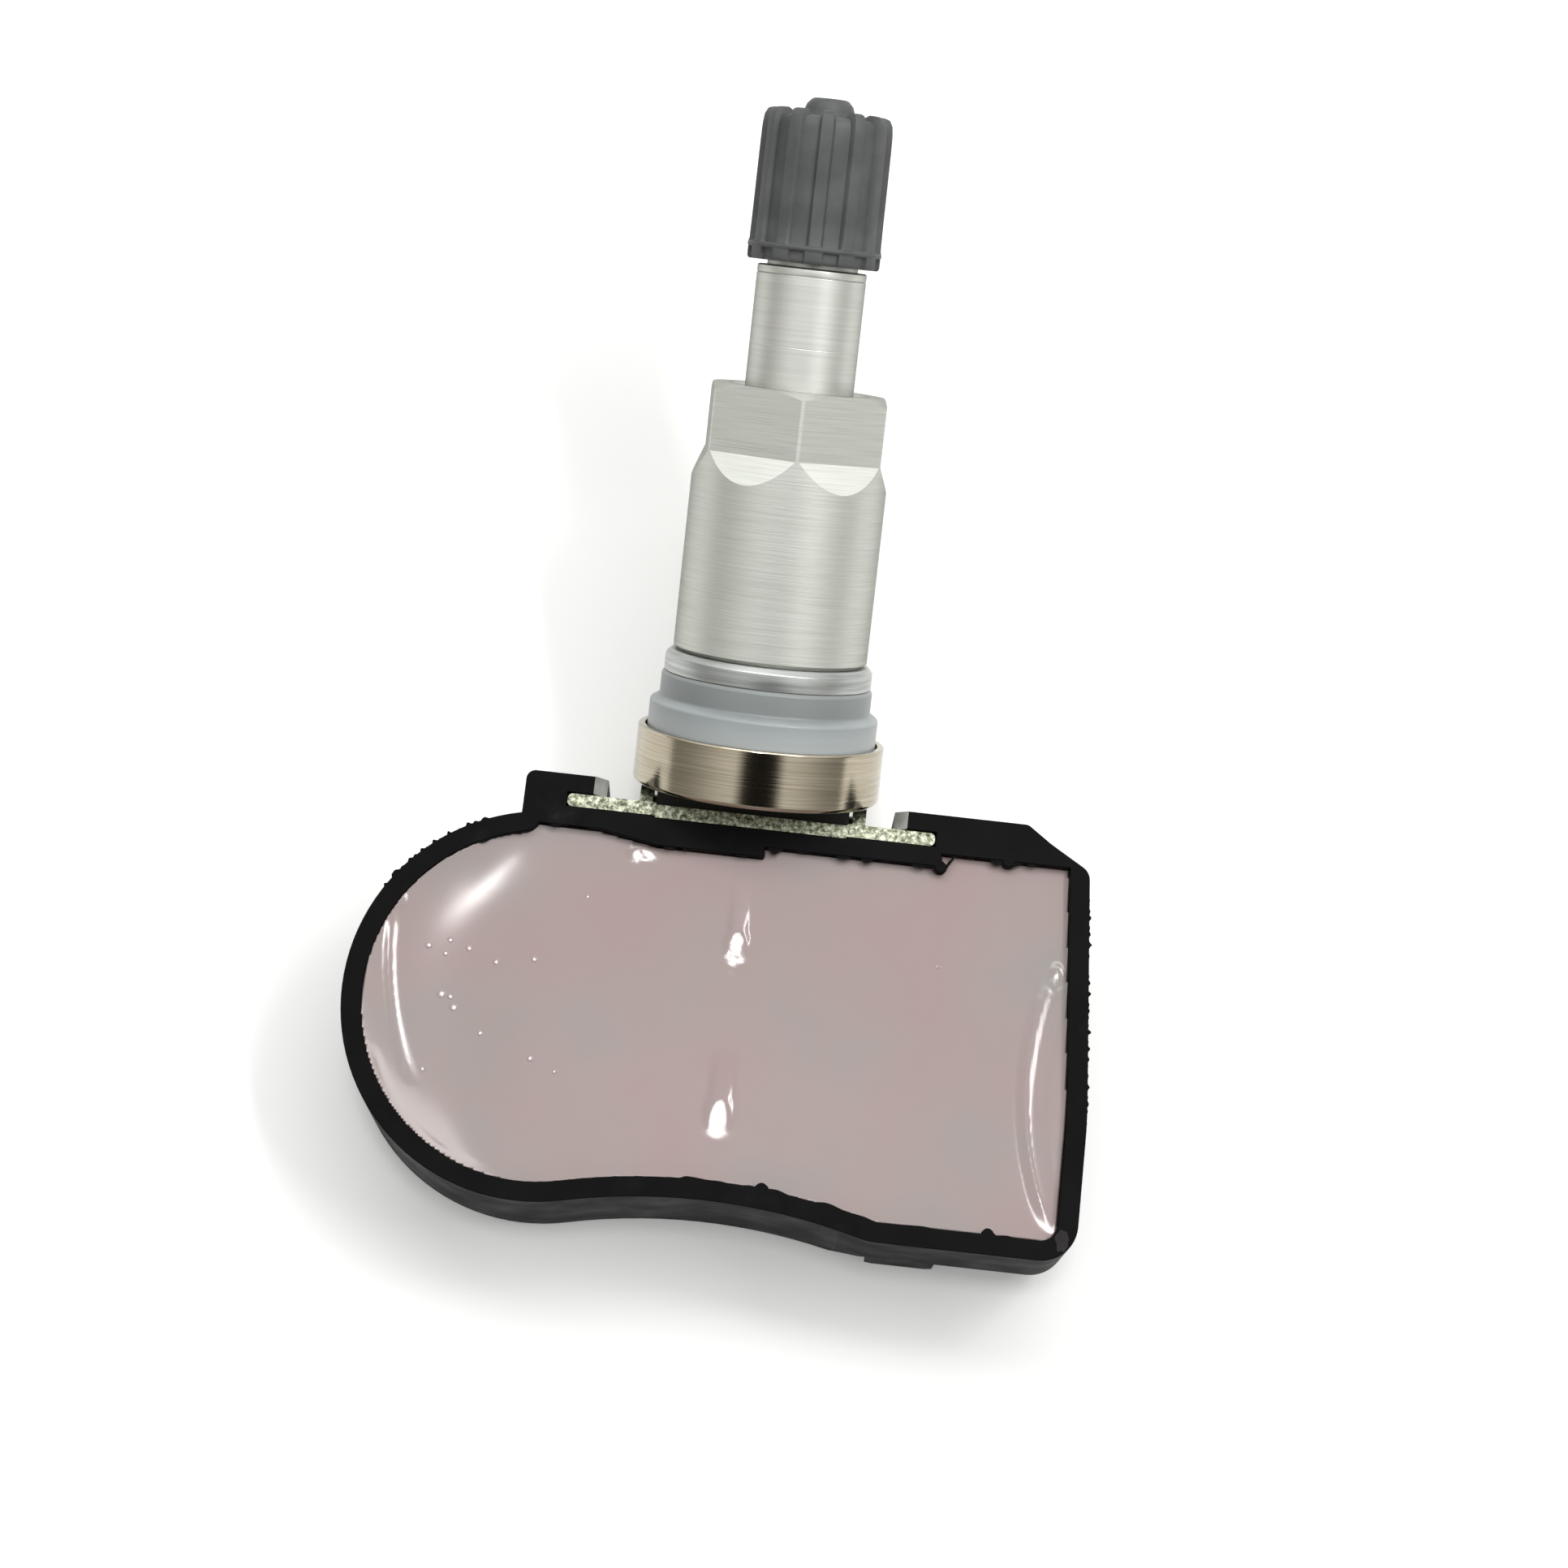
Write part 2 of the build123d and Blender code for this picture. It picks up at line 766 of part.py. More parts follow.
def hex_nut():
    """Long sleeve nut: round sleeve, six milled flats with sloped ends, chamfered top corners."""
    flat = hex_across_flats / 2
    chamfer_drop = (nut_radius - flat) * tan(radians(hex_chamfer_angle))
    nut = turned(
        [
            (bore_radius, nut_bottom),
            (nut_radius - nut_chamfer, nut_bottom),
            (nut_radius, nut_bottom + nut_chamfer),
            (nut_radius, nut_top - chamfer_drop),
            (flat, nut_top),
            (bore_radius, nut_top),
        ]
    )
    outside = 2 * nut_radius
    runout_slope = hex_runout / (nut_radius - flat)
    flat_cut = along_y(
        [
            (flat, hex_bottom),
            (flat, nut_top),
            (outside, nut_top),
            (outside, hex_bottom - runout_slope * (outside - flat)),
        ],
        -nut_radius,
        nut_radius,
    )
    for corner in range(6):
        nut -= Rot(0, 0, corner * 60 - 60 + hex_turn) * flat_cut
    return stem_frame * nut


def cap_rib():
    """One grip rib: straight flank, rounded over the roof."""
    rib_bottom = cap_bottom + cap_band_height
    rib_top = cap_top + cap_rib_rise
    round_off = cap_rib_radius - cap_wall_radius + cap_rib_rise
    root = cap_rib_radius - 2 * round_off
    inside = cap_bore_radius + thread_gap
    outline = make_face(
        [
            Polyline(
                (cap_rib_radius, rib_top - round_off),
                (cap_rib_radius, rib_bottom),
                (inside, rib_bottom),
                (inside, cap_ceiling),
                (root, cap_ceiling),
                (root, rib_top - round_off),
            ),
            ThreePointArc(
                (root, rib_top - round_off),
                (cap_rib_radius - round_off, rib_top),
                (cap_rib_radius, rib_top - round_off),
            ),
        ]
    )
    rib = extrude(Plane.XZ * outline, amount=cap_rib_width / 2, both=True)
    block_half = cap_block_width / 2
    lower_block = block(
        (inside, -block_half, cap_bottom),
        (cap_block_radius, block_half, rib_bottom),
    )
    return rib + lower_block


def dust_cap():
    """Moulded cap: ribs all round, lip and pocketed band below, button on the roof."""
    band_top = cap_bottom + cap_band_height
    button_top = cap_top + cap_button_height
    cap = turned(
        [
            (cap_bore_radius, cap_bottom),
            (cap_band_radius, cap_bottom),
            (cap_band_radius, band_top - cap_lip_height),
            (cap_lip_radius, band_top - cap_lip_height),
            (cap_lip_radius, band_top),
            (cap_wall_radius, band_top),
            (cap_wall_radius, cap_top - cap_roof_edge),
            (cap_wall_radius - cap_roof_edge, cap_top),
            (cap_button_radius, cap_top),
            (cap_button_radius, button_top - cap_button_edge),
            (cap_button_radius - cap_button_edge, button_top),
            (0, button_top),
            (0, cap_ceiling),
            (cap_bore_radius, cap_ceiling),
        ]
    )
    rib = cap_rib()
    for number in range(cap_ribs):
        cap += Rot(0, 0, number * 360 / cap_ribs - 90) * rib
    return stem_frame * cap


def cap_gasket():
    """Soft ring in the cap that seals on the stem's tip."""
    outer = cap_bore_radius - seat_gap
    outline = [
        (cap_gasket_inner_radius, cap_gasket_bottom),
        (outer, cap_gasket_bottom),
        (outer, cap_gasket_top),
        (cap_gasket_inner_radius, cap_gasket_top),
    ]
    return stem_frame * turned(outline)


def core_body():
    """Valve core: threaded plug, waist for the seal and a barrel that the poppet closes."""
    barrel_top = core_seat_bottom - core_seal_gap
    outline = [
        (core_guide_radius, core_bottom),
        (core_barrel_radius, core_bottom),
        (core_barrel_radius, barrel_top),
        (core_waist_radius, barrel_top),
        (core_waist_radius, core_plug_bottom),
        (core_plug_radius, core_plug_bottom),
        (core_plug_radius, core_top),
        (core_guide_radius, core_top),
        (core_guide_radius, spring_room_top),
        (core_spring_room_radius, spring_room_top),
        (core_spring_room_radius, spring_room_bottom),
        (core_guide_radius, spring_room_bottom),
    ]
    return stem_frame * turned(outline)


def core_seal():
    """Cone-shaped ring that seals the core in the stem's seat."""
    inner = core_waist_radius + press_gap
    cone = (core_bore_radius - core_chamber_radius) / core_seat_depth
    low_outer = core_chamber_radius - core_seal_gap
    outline = [
        (inner, core_seat_bottom),
        (low_outer, core_seat_bottom),
        (low_outer + cone * core_seal_height, core_seat_bottom + core_seal_height),
        (inner, core_seat_bottom + core_seal_height),
    ]
    return stem_frame * turned(outline)


def core_pin():
    """Pin with the collar that the spring pushes on and the poppet at its lower end."""
    outline = [
        (0, poppet_top - poppet_height),
        (poppet_radius, poppet_top - poppet_height),
        (poppet_radius, poppet_top),
        (pin_rod_radius, poppet_top),
        (pin_rod_radius, pin_collar_bottom),
        (pin_collar_radius, pin_collar_bottom),
        (pin_collar_radius, pin_collar_top),
        (pin_rod_radius, pin_collar_top),
        (pin_rod_radius, pin_top),
        (0, pin_top),
    ]
    return stem_frame * turned(outline)


def poppet_seal():
    """Soft washer on the poppet."""
    inner = pin_rod_radius + press_gap
    outline = [
        (inner, poppet_top),
        (poppet_radius, poppet_top),
        (poppet_radius, poppet_seal_top),
        (inner, poppet_seal_top),
    ]
    return stem_frame * turned(outline)


def core_spring():
    """Coil spring between the core's guide and the pin's collar."""
    low = spring_room_bottom + core_wire_radius + seat_gap
    height = pin_collar_bottom - core_wire_radius - seat_gap - low
    path = Helix(pitch=height / core_spring_turns, height=height, radius=core_spring_radius)
    section = Plane(origin=path @ 0, z_dir=path % 0) * RegularPolygon(core_wire_radius, core_wire_sides)
    return stem_frame * (Pos(0, 0, low) * sweep(section, path=path, is_frenet=True))


nodes = {
    "housing_shell": housing_shell,
    "sealing_compound": sealing_compound,
    "circuit_board": circuit_board,
    "button_cell": button_cell,
    "upper_cell_tab": upper_cell_tab,
    "lower_cell_tab": lower_cell_tab,
    "sensor_chip": sensor_chip,
    "port_seal": port_seal,
    "coil_core": coil_core,
    "coil_winding": coil_winding,
    "crystal": crystal,
    "capacitors": capacitors,
    "mounting_bracket": mounting_bracket,
    "pivot_pin": pivot_pin,
    "valve_base": valve_base,
    "valve_stem": valve_stem,
    "grommet": grommet,
    "clamp_washer": clamp_washer,
    "hex_nut": hex_nut,
    "dust_cap": dust_cap,
    "cap_gasket": cap_gasket,
    "core_body": core_body,
    "core_seal": core_seal,
    "core_spring": core_spring,
    "core_pin": core_pin,
    "poppet_seal": poppet_seal,
}

os.makedirs("parts", exist_ok=True)
for name, make in nodes.items():
    export_step(make(), f"parts/{name}.step")
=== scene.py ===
import json
import random
from math import atan2, cos, exp, hypot, pi, radians, sin, tau

import bmesh
import bpy
from mathutils import Matrix, Vector, noise
from mathutils.bvhtree import BVHTree


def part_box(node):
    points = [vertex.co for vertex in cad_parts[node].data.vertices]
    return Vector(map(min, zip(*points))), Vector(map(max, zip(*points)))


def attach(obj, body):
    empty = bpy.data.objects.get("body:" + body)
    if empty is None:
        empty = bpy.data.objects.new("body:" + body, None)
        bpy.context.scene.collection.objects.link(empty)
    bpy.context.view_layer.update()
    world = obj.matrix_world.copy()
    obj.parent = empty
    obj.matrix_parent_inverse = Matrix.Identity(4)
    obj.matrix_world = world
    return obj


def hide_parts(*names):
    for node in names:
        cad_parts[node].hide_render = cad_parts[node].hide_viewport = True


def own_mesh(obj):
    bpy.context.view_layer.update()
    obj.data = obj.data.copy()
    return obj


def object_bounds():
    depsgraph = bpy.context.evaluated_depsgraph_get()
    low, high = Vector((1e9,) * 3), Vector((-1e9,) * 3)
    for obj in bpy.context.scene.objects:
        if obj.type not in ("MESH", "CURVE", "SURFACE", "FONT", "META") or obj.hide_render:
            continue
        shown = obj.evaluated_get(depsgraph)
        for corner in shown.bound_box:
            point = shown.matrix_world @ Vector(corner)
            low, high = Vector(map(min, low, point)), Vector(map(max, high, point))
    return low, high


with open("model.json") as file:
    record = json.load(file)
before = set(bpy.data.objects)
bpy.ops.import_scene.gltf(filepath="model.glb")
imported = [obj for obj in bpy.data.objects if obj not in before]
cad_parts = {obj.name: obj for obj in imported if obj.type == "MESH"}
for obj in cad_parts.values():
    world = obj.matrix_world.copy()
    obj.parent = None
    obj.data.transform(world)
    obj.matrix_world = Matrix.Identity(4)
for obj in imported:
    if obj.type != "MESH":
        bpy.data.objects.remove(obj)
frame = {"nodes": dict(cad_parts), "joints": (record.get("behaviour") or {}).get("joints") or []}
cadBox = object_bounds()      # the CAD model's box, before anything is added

mm = 0.001
cadNodes = frame["nodes"]

# the valve leans, so its pieces are made upright and then laid along the nut's axis
stemJoint = next(joint for joint in frame["joints"] if joint["name"] == "nut_turn")
stemFoot = Vector(stemJoint["pos_m"])      # middle of the collar's underside
stemZ = Vector(stemJoint["axis"])
stemX = Vector((1, 0, 0))
stemTurn = Matrix((stemX, stemZ.cross(stemX), stemZ)).transposed()
stemMatrix = Matrix.Translation(stemFoot) @ stemTurn.to_4x4()
print("frame loaded, stem leans", round(stemZ.z, 3))


# tools

def hexColour(code):      # sRGB hex to linear
    channels = [int(code[i:i + 2], 16) / 255 for i in (1, 3, 5)]
    return [c / 12.92 if c < 0.04045 else ((c + 0.055) / 1.055) ** 2.4 for c in channels] + [1]


def addNode(tree, kind, inputs=None, stops=None, **settings):
    node = tree.nodes.new(kind)
    for name, value in settings.items():
        setattr(node, name, value)
    for key, value in (inputs or {}).items():
        if isinstance(value, bpy.types.NodeSocket):
            tree.links.new(value, node.inputs[key])
        else:
            node.inputs[key].default_value = value
    for place, (position, code) in enumerate(stops or []):
        ramp = node.color_ramp.elements
        element = ramp[place] if place < 2 else ramp.new(position)
        element.position = position
        element.color = hexColour(code)
    return node


def startMaterial(name, **finish):      # roughness, metallic and the like go on the shader's own sockets
    material = bpy.data.materials.new(name)
    material.use_nodes = True
    tree = material.node_tree
    shader = tree.nodes["Principled BSDF"]
    for socket, value in finish.items():
        shader.inputs[socket].default_value = value
    place = addNode(tree, "ShaderNodeTexCoord").outputs["Object"]
    return material, tree, shader, place


def alongStem(tree, place, ring, around):      # coordinates that run once per ring mm up the stem, and per around mm round it
    upright = stemTurn.transposed()
    straight = addNode(tree, "ShaderNodeMapping", {
        "Vector": place, "Rotation": upright.to_euler(), "Location": -(upright @ stemFoot)})
    scale = (1 / (around * mm), 1 / (around * mm), 1 / (ring * mm))
    return addNode(tree, "ShaderNodeVectorMath", {0: straight.outputs[0], 1: scale}, operation="MULTIPLY").outputs[0]


def finishPiece(name, bm, material, body, nodes=(), sharp=32):
    bmesh.ops.remove_doubles(bm, verts=bm.verts, dist=0.0005 * mm)
    bmesh.ops.recalc_face_normals(bm, faces=bm.faces)
    mesh = bpy.data.meshes.new(name)
    bm.to_mesh(mesh)
    bm.free()
    mesh.shade_smooth()
    mesh.set_sharp_from_angle(angle=radians(sharp))
    mesh.materials.append(material)
    piece = bpy.data.objects.new(name, mesh)
    bpy.context.scene.collection.objects.link(piece)
    weights = piece.modifiers.new("flatFaces", "WEIGHTED_NORMAL")      # long faces keep their own shading beside a bevel
    weights.keep_sharp = True
    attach(piece, body)
    if nodes:
        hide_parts(*nodes)
    print("piece", name, len(mesh.polygons), "faces")
    return piece


def turnProfile(profile, steps, rounding=0, sharpest=25):      # (radius, height) in mm, spun about Z
    bm = bmesh.new()
    verts = [bm.verts.new((radius * mm, 0, height * mm)) for radius, height in profile]
    edges = [bm.edges.new(pair) for pair in zip(verts, verts[1:])]
    if profile[0][0] > 0:      # a ring closes on itself, a solid ends on the axis
        edges.append(bm.edges.new((verts[-1], verts[0])))
    bmesh.ops.spin(bm, geom=verts + edges, cent=(0, 0, 0), axis=(0, 0, 1), angle=tau, steps=steps, use_merge=True)
    bmesh.ops.remove_doubles(bm, verts=bm.verts, dist=0.0005 * mm)
    bmesh.ops.recalc_face_normals(bm, faces=bm.faces)
    if rounding:
        corners = [e for e in bm.edges if e.is_manifold and e.calc_face_angle() > radians(sharpest)]
        bmesh.ops.bevel(bm, geom=corners, offset=rounding * mm, offset_type="OFFSET", segments=3, profile=0.5,
                        affect="EDGES", material=-1, clamp_overlap=True)
    return bm


def addThread(bm, crest, root, pitch, low, high, steps=40):      # a winding ridge, closed at both ends
    turns = (high - low) / pitch - 1
    section = [(root - 0.05, low), (crest, low + pitch * 0.42), (crest, low + pitch * 0.58), (root - 0.05, low + pitch)]
    verts = [bm.verts.new((radius * mm, 0, height * mm)) for radius, height in section]
    face = bm.faces.new(verts)
    count = int(turns * steps)
    bmesh.ops.spin(bm, geom=[face], cent=(0, 0, 0), axis=(0, 0, 1), dvec=(0, 0, pitch * mm / steps),
                   angle=tau * count / steps, steps=count)


def layAlongStem(bm):
    bmesh.ops.transform(bm, matrix=stemMatrix, verts=bm.verts)
    return bm


# materials

def blackNylon():
    # glass-filled nylon, moulded: near black and dull, with a fine tooled grain and paler scuffs
    material, tree, shader, place = startMaterial("blackNylon", **{"Roughness": 0.5, "Specular IOR Level": 0.05})
    patches = addNode(tree, "ShaderNodeTexNoise", {"Vector": place, "Scale": 1 / (4 * mm), "Detail": 4.0})
    colour = addNode(tree, "ShaderNodeValToRGB", {"Fac": patches.outputs["Fac"]},
                     stops=[(0.3, "#040405"), (0.6, "#070708"), (0.7, "#131313"), (0.8, "#2b2b2a")])
    tree.links.new(colour.outputs["Color"], shader.inputs["Base Color"])
    gloss = addNode(tree, "ShaderNodeMapRange", {"Value": patches.outputs["Fac"], 1: 0.3, 2: 0.7, 3: 0.42, 4: 0.62})
    tree.links.new(gloss.outputs[0], shader.inputs["Roughness"])
    grain = addNode(tree, "ShaderNodeTexNoise", {"Vector": place, "Scale": 1 / (0.22 * mm), "Detail": 3.0})
    bump = addNode(tree, "ShaderNodeBump", {"Height": grain.outputs["Fac"], "Strength": 0.35, "Distance": 0.03 * mm})
    tree.links.new(bump.outputs[0], shader.inputs["Normal"])
    return material


def pottingResin():
    # polyurethane potting resin, poured and cured: mauve grey, glossy, faintly clouded
    material, tree, shader, place = startMaterial("pottingResin", **{"Roughness": 0.14, "IOR": 1.5})
    cloud = addNode(tree, "ShaderNodeTexNoise", {"Vector": place, "Scale": 1 / (11 * mm), "Detail": 3.0, "Roughness": 0.45})
    colour = addNode(tree, "ShaderNodeValToRGB", {"Fac": cloud.outputs["Fac"]},
                     stops=[(0.32, "#a48f8c"), (0.5, "#a2928f"), (0.68, "#9b9390")])
    tree.links.new(colour.outputs["Color"], shader.inputs["Base Color"])
    waves = addNode(tree, "ShaderNodeTexNoise", {"Vector": place, "Scale": 1 / (3 * mm), "Detail": 1.0})
    bump = addNode(tree, "ShaderNodeBump", {"Height": waves.outputs["Fac"], "Strength": 0.12, "Distance": 0.05 * mm})
    tree.links.new(bump.outputs[0], shader.inputs["Normal"])
    return material


def zincPlate():
    # zinc-plated steel, sheared: yellow-green passivation with bright and dark grains
    material, tree, shader, place = startMaterial("zincPlate", **{"Metallic": 1.0, "Roughness": 0.42})
    grains = addNode(tree, "ShaderNodeTexNoise", {"Vector": place, "Scale": 1 / (0.35 * mm), "Detail": 5.0, "Roughness": 0.7})
    colour = addNode(tree, "ShaderNodeValToRGB", {"Fac": grains.outputs["Fac"]},
                     stops=[(0.36, "#35382f"), (0.5, "#7f826f"), (0.64, "#c3c7b3")])
    tree.links.new(colour.outputs["Color"], shader.inputs["Base Color"])
    bump = addNode(tree, "ShaderNodeBump", {"Height": grains.outputs["Fac"], "Strength": 0.7, "Distance": 0.14 * mm})
    tree.links.new(bump.outputs[0], shader.inputs["Normal"])
    return material


def turnedMetal(name, tones, rough, ring, depth, streak=9, edge="#ffffff"):
    # a turned metal shows fine rings, which draw its highlights out along the axis; a satin one is duller edge-on
    material, tree, shader, place = startMaterial(name, **{
        "Metallic": 1.0, "Roughness": rough, "Specular Tint": hexColour(edge)})
    rings = addNode(tree, "ShaderNodeTexNoise", {
        "Vector": alongStem(tree, place, ring, streak), "Scale": 1.0, "Detail": 3.0, "Roughness": 0.6})
    colour = addNode(tree, "ShaderNodeValToRGB", {"Fac": rings.outputs["Fac"]},
                     stops=[(0.3, tones[0]), (0.5, tones[1]), (0.72, tones[2])])
    tree.links.new(colour.outputs["Color"], shader.inputs["Base Color"])
    bump = addNode(tree, "ShaderNodeBump", {"Height": rings.outputs["Fac"], "Strength": 0.5, "Distance": depth * mm})
    tree.links.new(bump.outputs[0], shader.inputs["Normal"])
    return material


def mouldedSoft(name, tones, rough, grain, ior=1.5):
    # a moulded rubber or plastic: soft clouds of tone over a fine grain
    material, tree, shader, place = startMaterial(name, **{"Roughness": rough, "IOR": ior})
    clouds = addNode(tree, "ShaderNodeTexNoise", {"Vector": place, "Scale": 1 / (2.5 * mm), "Detail": 4.0})
    colour = addNode(tree, "ShaderNodeValToRGB", {"Fac": clouds.outputs["Fac"]},
                     stops=[(0.3, tones[0]), (0.5, tones[1]), (0.7, tones[2])])
    tree.links.new(colour.outputs["Color"], shader.inputs["Base Color"])
    fine = addNode(tree, "ShaderNodeTexNoise", {"Vector": place, "Scale": 1 / (grain * mm), "Detail": 2.0})
    bump = addNode(tree, "ShaderNodeBump", {"Height": fine.outputs["Fac"], "Strength": 0.25, "Distance": 0.02 * mm})
    tree.links.new(bump.outputs[0], shader.inputs["Normal"])
    return material


def greySilicone():
    # moulded silicone: bluish grey; the thin upper band is painted darker than the thick lower one, as painted shade
    # under the washer
    material, tree, shader, place = startMaterial("greySilicone", **{"Roughness": 0.36, "IOR": 1.42})
    # painted shade: the tone darkens with height up the stem, over the upper band under the washer
    height = addNode(tree, "ShaderNodeSeparateXYZ", {0: alongStem(tree, place, 10, 10)})
    clouds = addNode(tree, "ShaderNodeTexNoise", {"Vector": place, "Scale": 1 / (2.5 * mm), "Detail": 4.0})
    mottleAndShade = addNode(tree, "ShaderNodeMath", {0: clouds.outputs["Fac"], 1: 0.06, 2: height.outputs["Z"]},
                     operation="MULTIPLY_ADD")
    colour = addNode(tree, "ShaderNodeValToRGB", {"Fac": mottleAndShade.outputs[0]},
                     stops=[(0.58, "#adb3b4"), (0.67, "#a3a9aa"), (0.72, "#868b8b"), (0.9, "#8d9291")])
    tree.links.new(colour.outputs["Color"], shader.inputs["Base Color"])
    return material


def drawnMetal(name, tones, rough):
    # drawn, rolled or sintered metal of the small parts inside: streaks along the strip
    material, tree, shader, place = startMaterial(name, **{"Metallic": 1.0, "Roughness": rough})
    streaks = addNode(tree, "ShaderNodeMapping", {"Vector": place, "Scale": (1 / (4 * mm), 1 / (0.2 * mm), 1 / (0.2 * mm))})
    lines = addNode(tree, "ShaderNodeTexNoise", {"Vector": streaks.outputs[0], "Scale": 1.0, "Detail": 2.0})
    colour = addNode(tree, "ShaderNodeValToRGB", {"Fac": lines.outputs["Fac"]}, stops=[(0.35, tones[0]), (0.65, tones[1])])
    tree.links.new(colour.outputs["Color"], shader.inputs["Base Color"])
    return material


shellMaterial = blackNylon()
resinMaterial = pottingResin()
zincMaterial = zincPlate()
nickelMaterial = turnedMetal("nickelPlatedBrass", ("#9d9381", "#ada491", "#beb5a4"), 0.15, 0.16, 0.02)
nutMaterial = turnedMetal("satinAluminium", ("#c4c6bf", "#ced0c9", "#d7d9d3"), 0.46, 0.09, 0.014, 5, "#808080")
neckMaterial = turnedMetal("turnedAluminium", ("#c6c7c1", "#cdcec8", "#d4d4d0"), 0.44, 0.2, 0.006, 9, "#808080")
washerMaterial = turnedMetal("brightAluminium", ("#959897", "#b1b3b1", "#c5c6c4"), 0.38, 0.35, 0.02)
brassMaterial = turnedMetal("turnedBrass", ("#a5803c", "#bf9a50", "#d0ad68"), 0.25, 0.2, 0.01)
siliconeMaterial = greySilicone()
# painted highlight: pale grey for the sloped rail tips, standing in for the light they catch
railTipSheenMaterial = mouldedSoft("paintedSheenNylon", ("#5e5e5d", "#7d7d7a", "#9c9c98"), 0.6, 0.15)
rubbedMaterial = mouldedSoft("rubbedNylon", ("#2a2829", "#353233", "#423e3f"), 0.7, 0.15, 1.12)
# painted shade: near-black tones for the collar's tongue, standing in for the shadowed gap under the collar
tongueShadeMaterial = mouldedSoft("paintedShadeBrass", ("#0d0b09", "#15120f", "#1e1a16"), 0.5, 0.2)
capMaterial = mouldedSoft("greyNylon", ("#474949", "#4f5151", "#595b5a"), 0.62, 0.12)
sealMaterial = mouldedSoft("blackRubber", ("#171717", "#1e1e1e", "#262626"), 0.6, 0.1)
boardMaterial = mouldedSoft("solderMask", ("#1d4a2a", "#235432", "#2b603a"), 0.35, 0.3)
chipMaterial = mouldedSoft("mouldedEpoxy", ("#1a1a1a", "#212121", "#2a2a2a"), 0.55, 0.1)
ceramicMaterial = mouldedSoft("firedCeramic", ("#9a7f5f", "#a98c6a", "#b89a78"), 0.5, 0.1)
ferriteMaterial = mouldedSoft("sinteredFerrite", ("#2b2c2e", "#343537", "#3e3f41"), 0.55, 0.12)
steelMaterial = drawnMetal("drawnSteel", ("#9c9c9a", "#bcbcb8"), 0.3)
stripMaterial = drawnMetal("nickelStrip", ("#aca594", "#c6c0b0"), 0.28)
copperMaterial = drawnMetal("copperWire", ("#8a4524", "#b5653a"), 0.35)

# CAD nodes that keep their shape and take a finish
keptNodes = {
    "mounting_bracket": zincMaterial, "pivot_pin": steelMaterial, "circuit_board": boardMaterial,
    "button_cell": steelMaterial, "upper_cell_tab": stripMaterial, "lower_cell_tab": stripMaterial,
    "sensor_chip": chipMaterial, "port_seal": sealMaterial, "coil_core": ferriteMaterial,
    "coil_winding": copperMaterial, "crystal": steelMaterial, "capacitors": ceramicMaterial,
    "cap_gasket": sealMaterial, "core_body": brassMaterial, "core_seal": sealMaterial,
    "core_pin": brassMaterial, "poppet_seal": sealMaterial,
}
for node, material in keptNodes.items():
    cadNodes[node].data.materials.clear()
    cadNodes[node].data.materials.append(material)
print("finishes on", len(keptNodes), "CAD nodes")


# valve core: a copy of the CAD coil


def makeSpring():
    bm = bmesh.new()
    bm.from_mesh(cadNodes["core_spring"].data)
    piece = finishPiece("coilSpring", bm, steelMaterial, "valve", ["core_spring"])
    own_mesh(piece)
    return piece


makeSpring()


# sealing compound: the CAD layer's outline with a cut-up top that dips and climbs

resin = {
    "grid": 0.2,                       # mm between cuts
    "sink": (0.42, 0.3),               # of the round end's middle and of the rest below the CAD layer's top, mm
    "climb": (0.05, 0.5),              # height at the wall and how fast it dies away, mm
    "level": (7, 10, -16, -12),        # no climb beyond the second y, right of the second x
    "dish": (0.82, 7.2, 60),           # wide rise towards the wall: height, reach, smoothing passes
    "dishFade": (-20.5, -15, 0.12),       # whole up to the first x, then down to a share at the second
    "ridges": [                        # start, middle, end, height, half width, mm
        ((-25.9, 4.9), (-25.25, -1.6), (-22.75, -8.4), 0.12, 0.62),
        ((23.9, 5.7), (22.67, -4.0), (25.5, -14.2), 0.19, 0.82),
        ((24.85, 2.5), (23.75, -3.8), (26.0, -13.3), 0.06, 0.5),
        ((-26.0, -5.8), (-22.2, -11.4), (-16.4, -14.2), 0.04, 0.4),
    ],
    "bumps": [                         # x, y, half width, half length, height, tilt along x and y, crumple, mm
        (-0.06, 4.64, 0.95, 1.9, 0.1, 0, 0.1, 0.022, 1.35, 3.9),
        (0.04, -8.22, 1.05, 2.0, 0.1, 0, 0.066, 0.01, 1.4, 3.6),
        (-7.9, 11.0, 1.15, 0.75, 0.06, -0.02, 0.1, 0.03, 9, 1),
        (24.1, 5.0, 0.6, 1.1, 0.06, 0.045, 0.1, 0.03, 9, 1),
        (-25.6, 5.4, 0.5, 0.8, 0.04, 0.13, 0.01, 0.02, 9, 1),
    ],
    "bubbles": [                       # x, y, radius, mm
        (-22.99, 2.26, 0.16), (-21.44, 2.86, 0.13), (-21.66, 1.79, 0.12), (-19.95, 2.4, 0.15),
        (-17.8, 1.56, 0.14), (-14.97, 2.09, 0.14), (-21.57, -1.32, 0.2), (-20.87, -1.44, 0.13),
        (-20.52, -2.23, 0.18), (-18.3, -3.96, 0.12), (-14.34, -5.45, 0.14), (-12.42, -6.25, 0.1),
        (-11.57, 7.33, 0.1), (-22.21, -7.15, 0.12), (15.23, 4.94, 0.1),
    ],
    "bubbleShape": (1.7, 0.07, -0.05, 0.082, 0.02),      # spread, flatness, tilt along x and y, lift mm
}


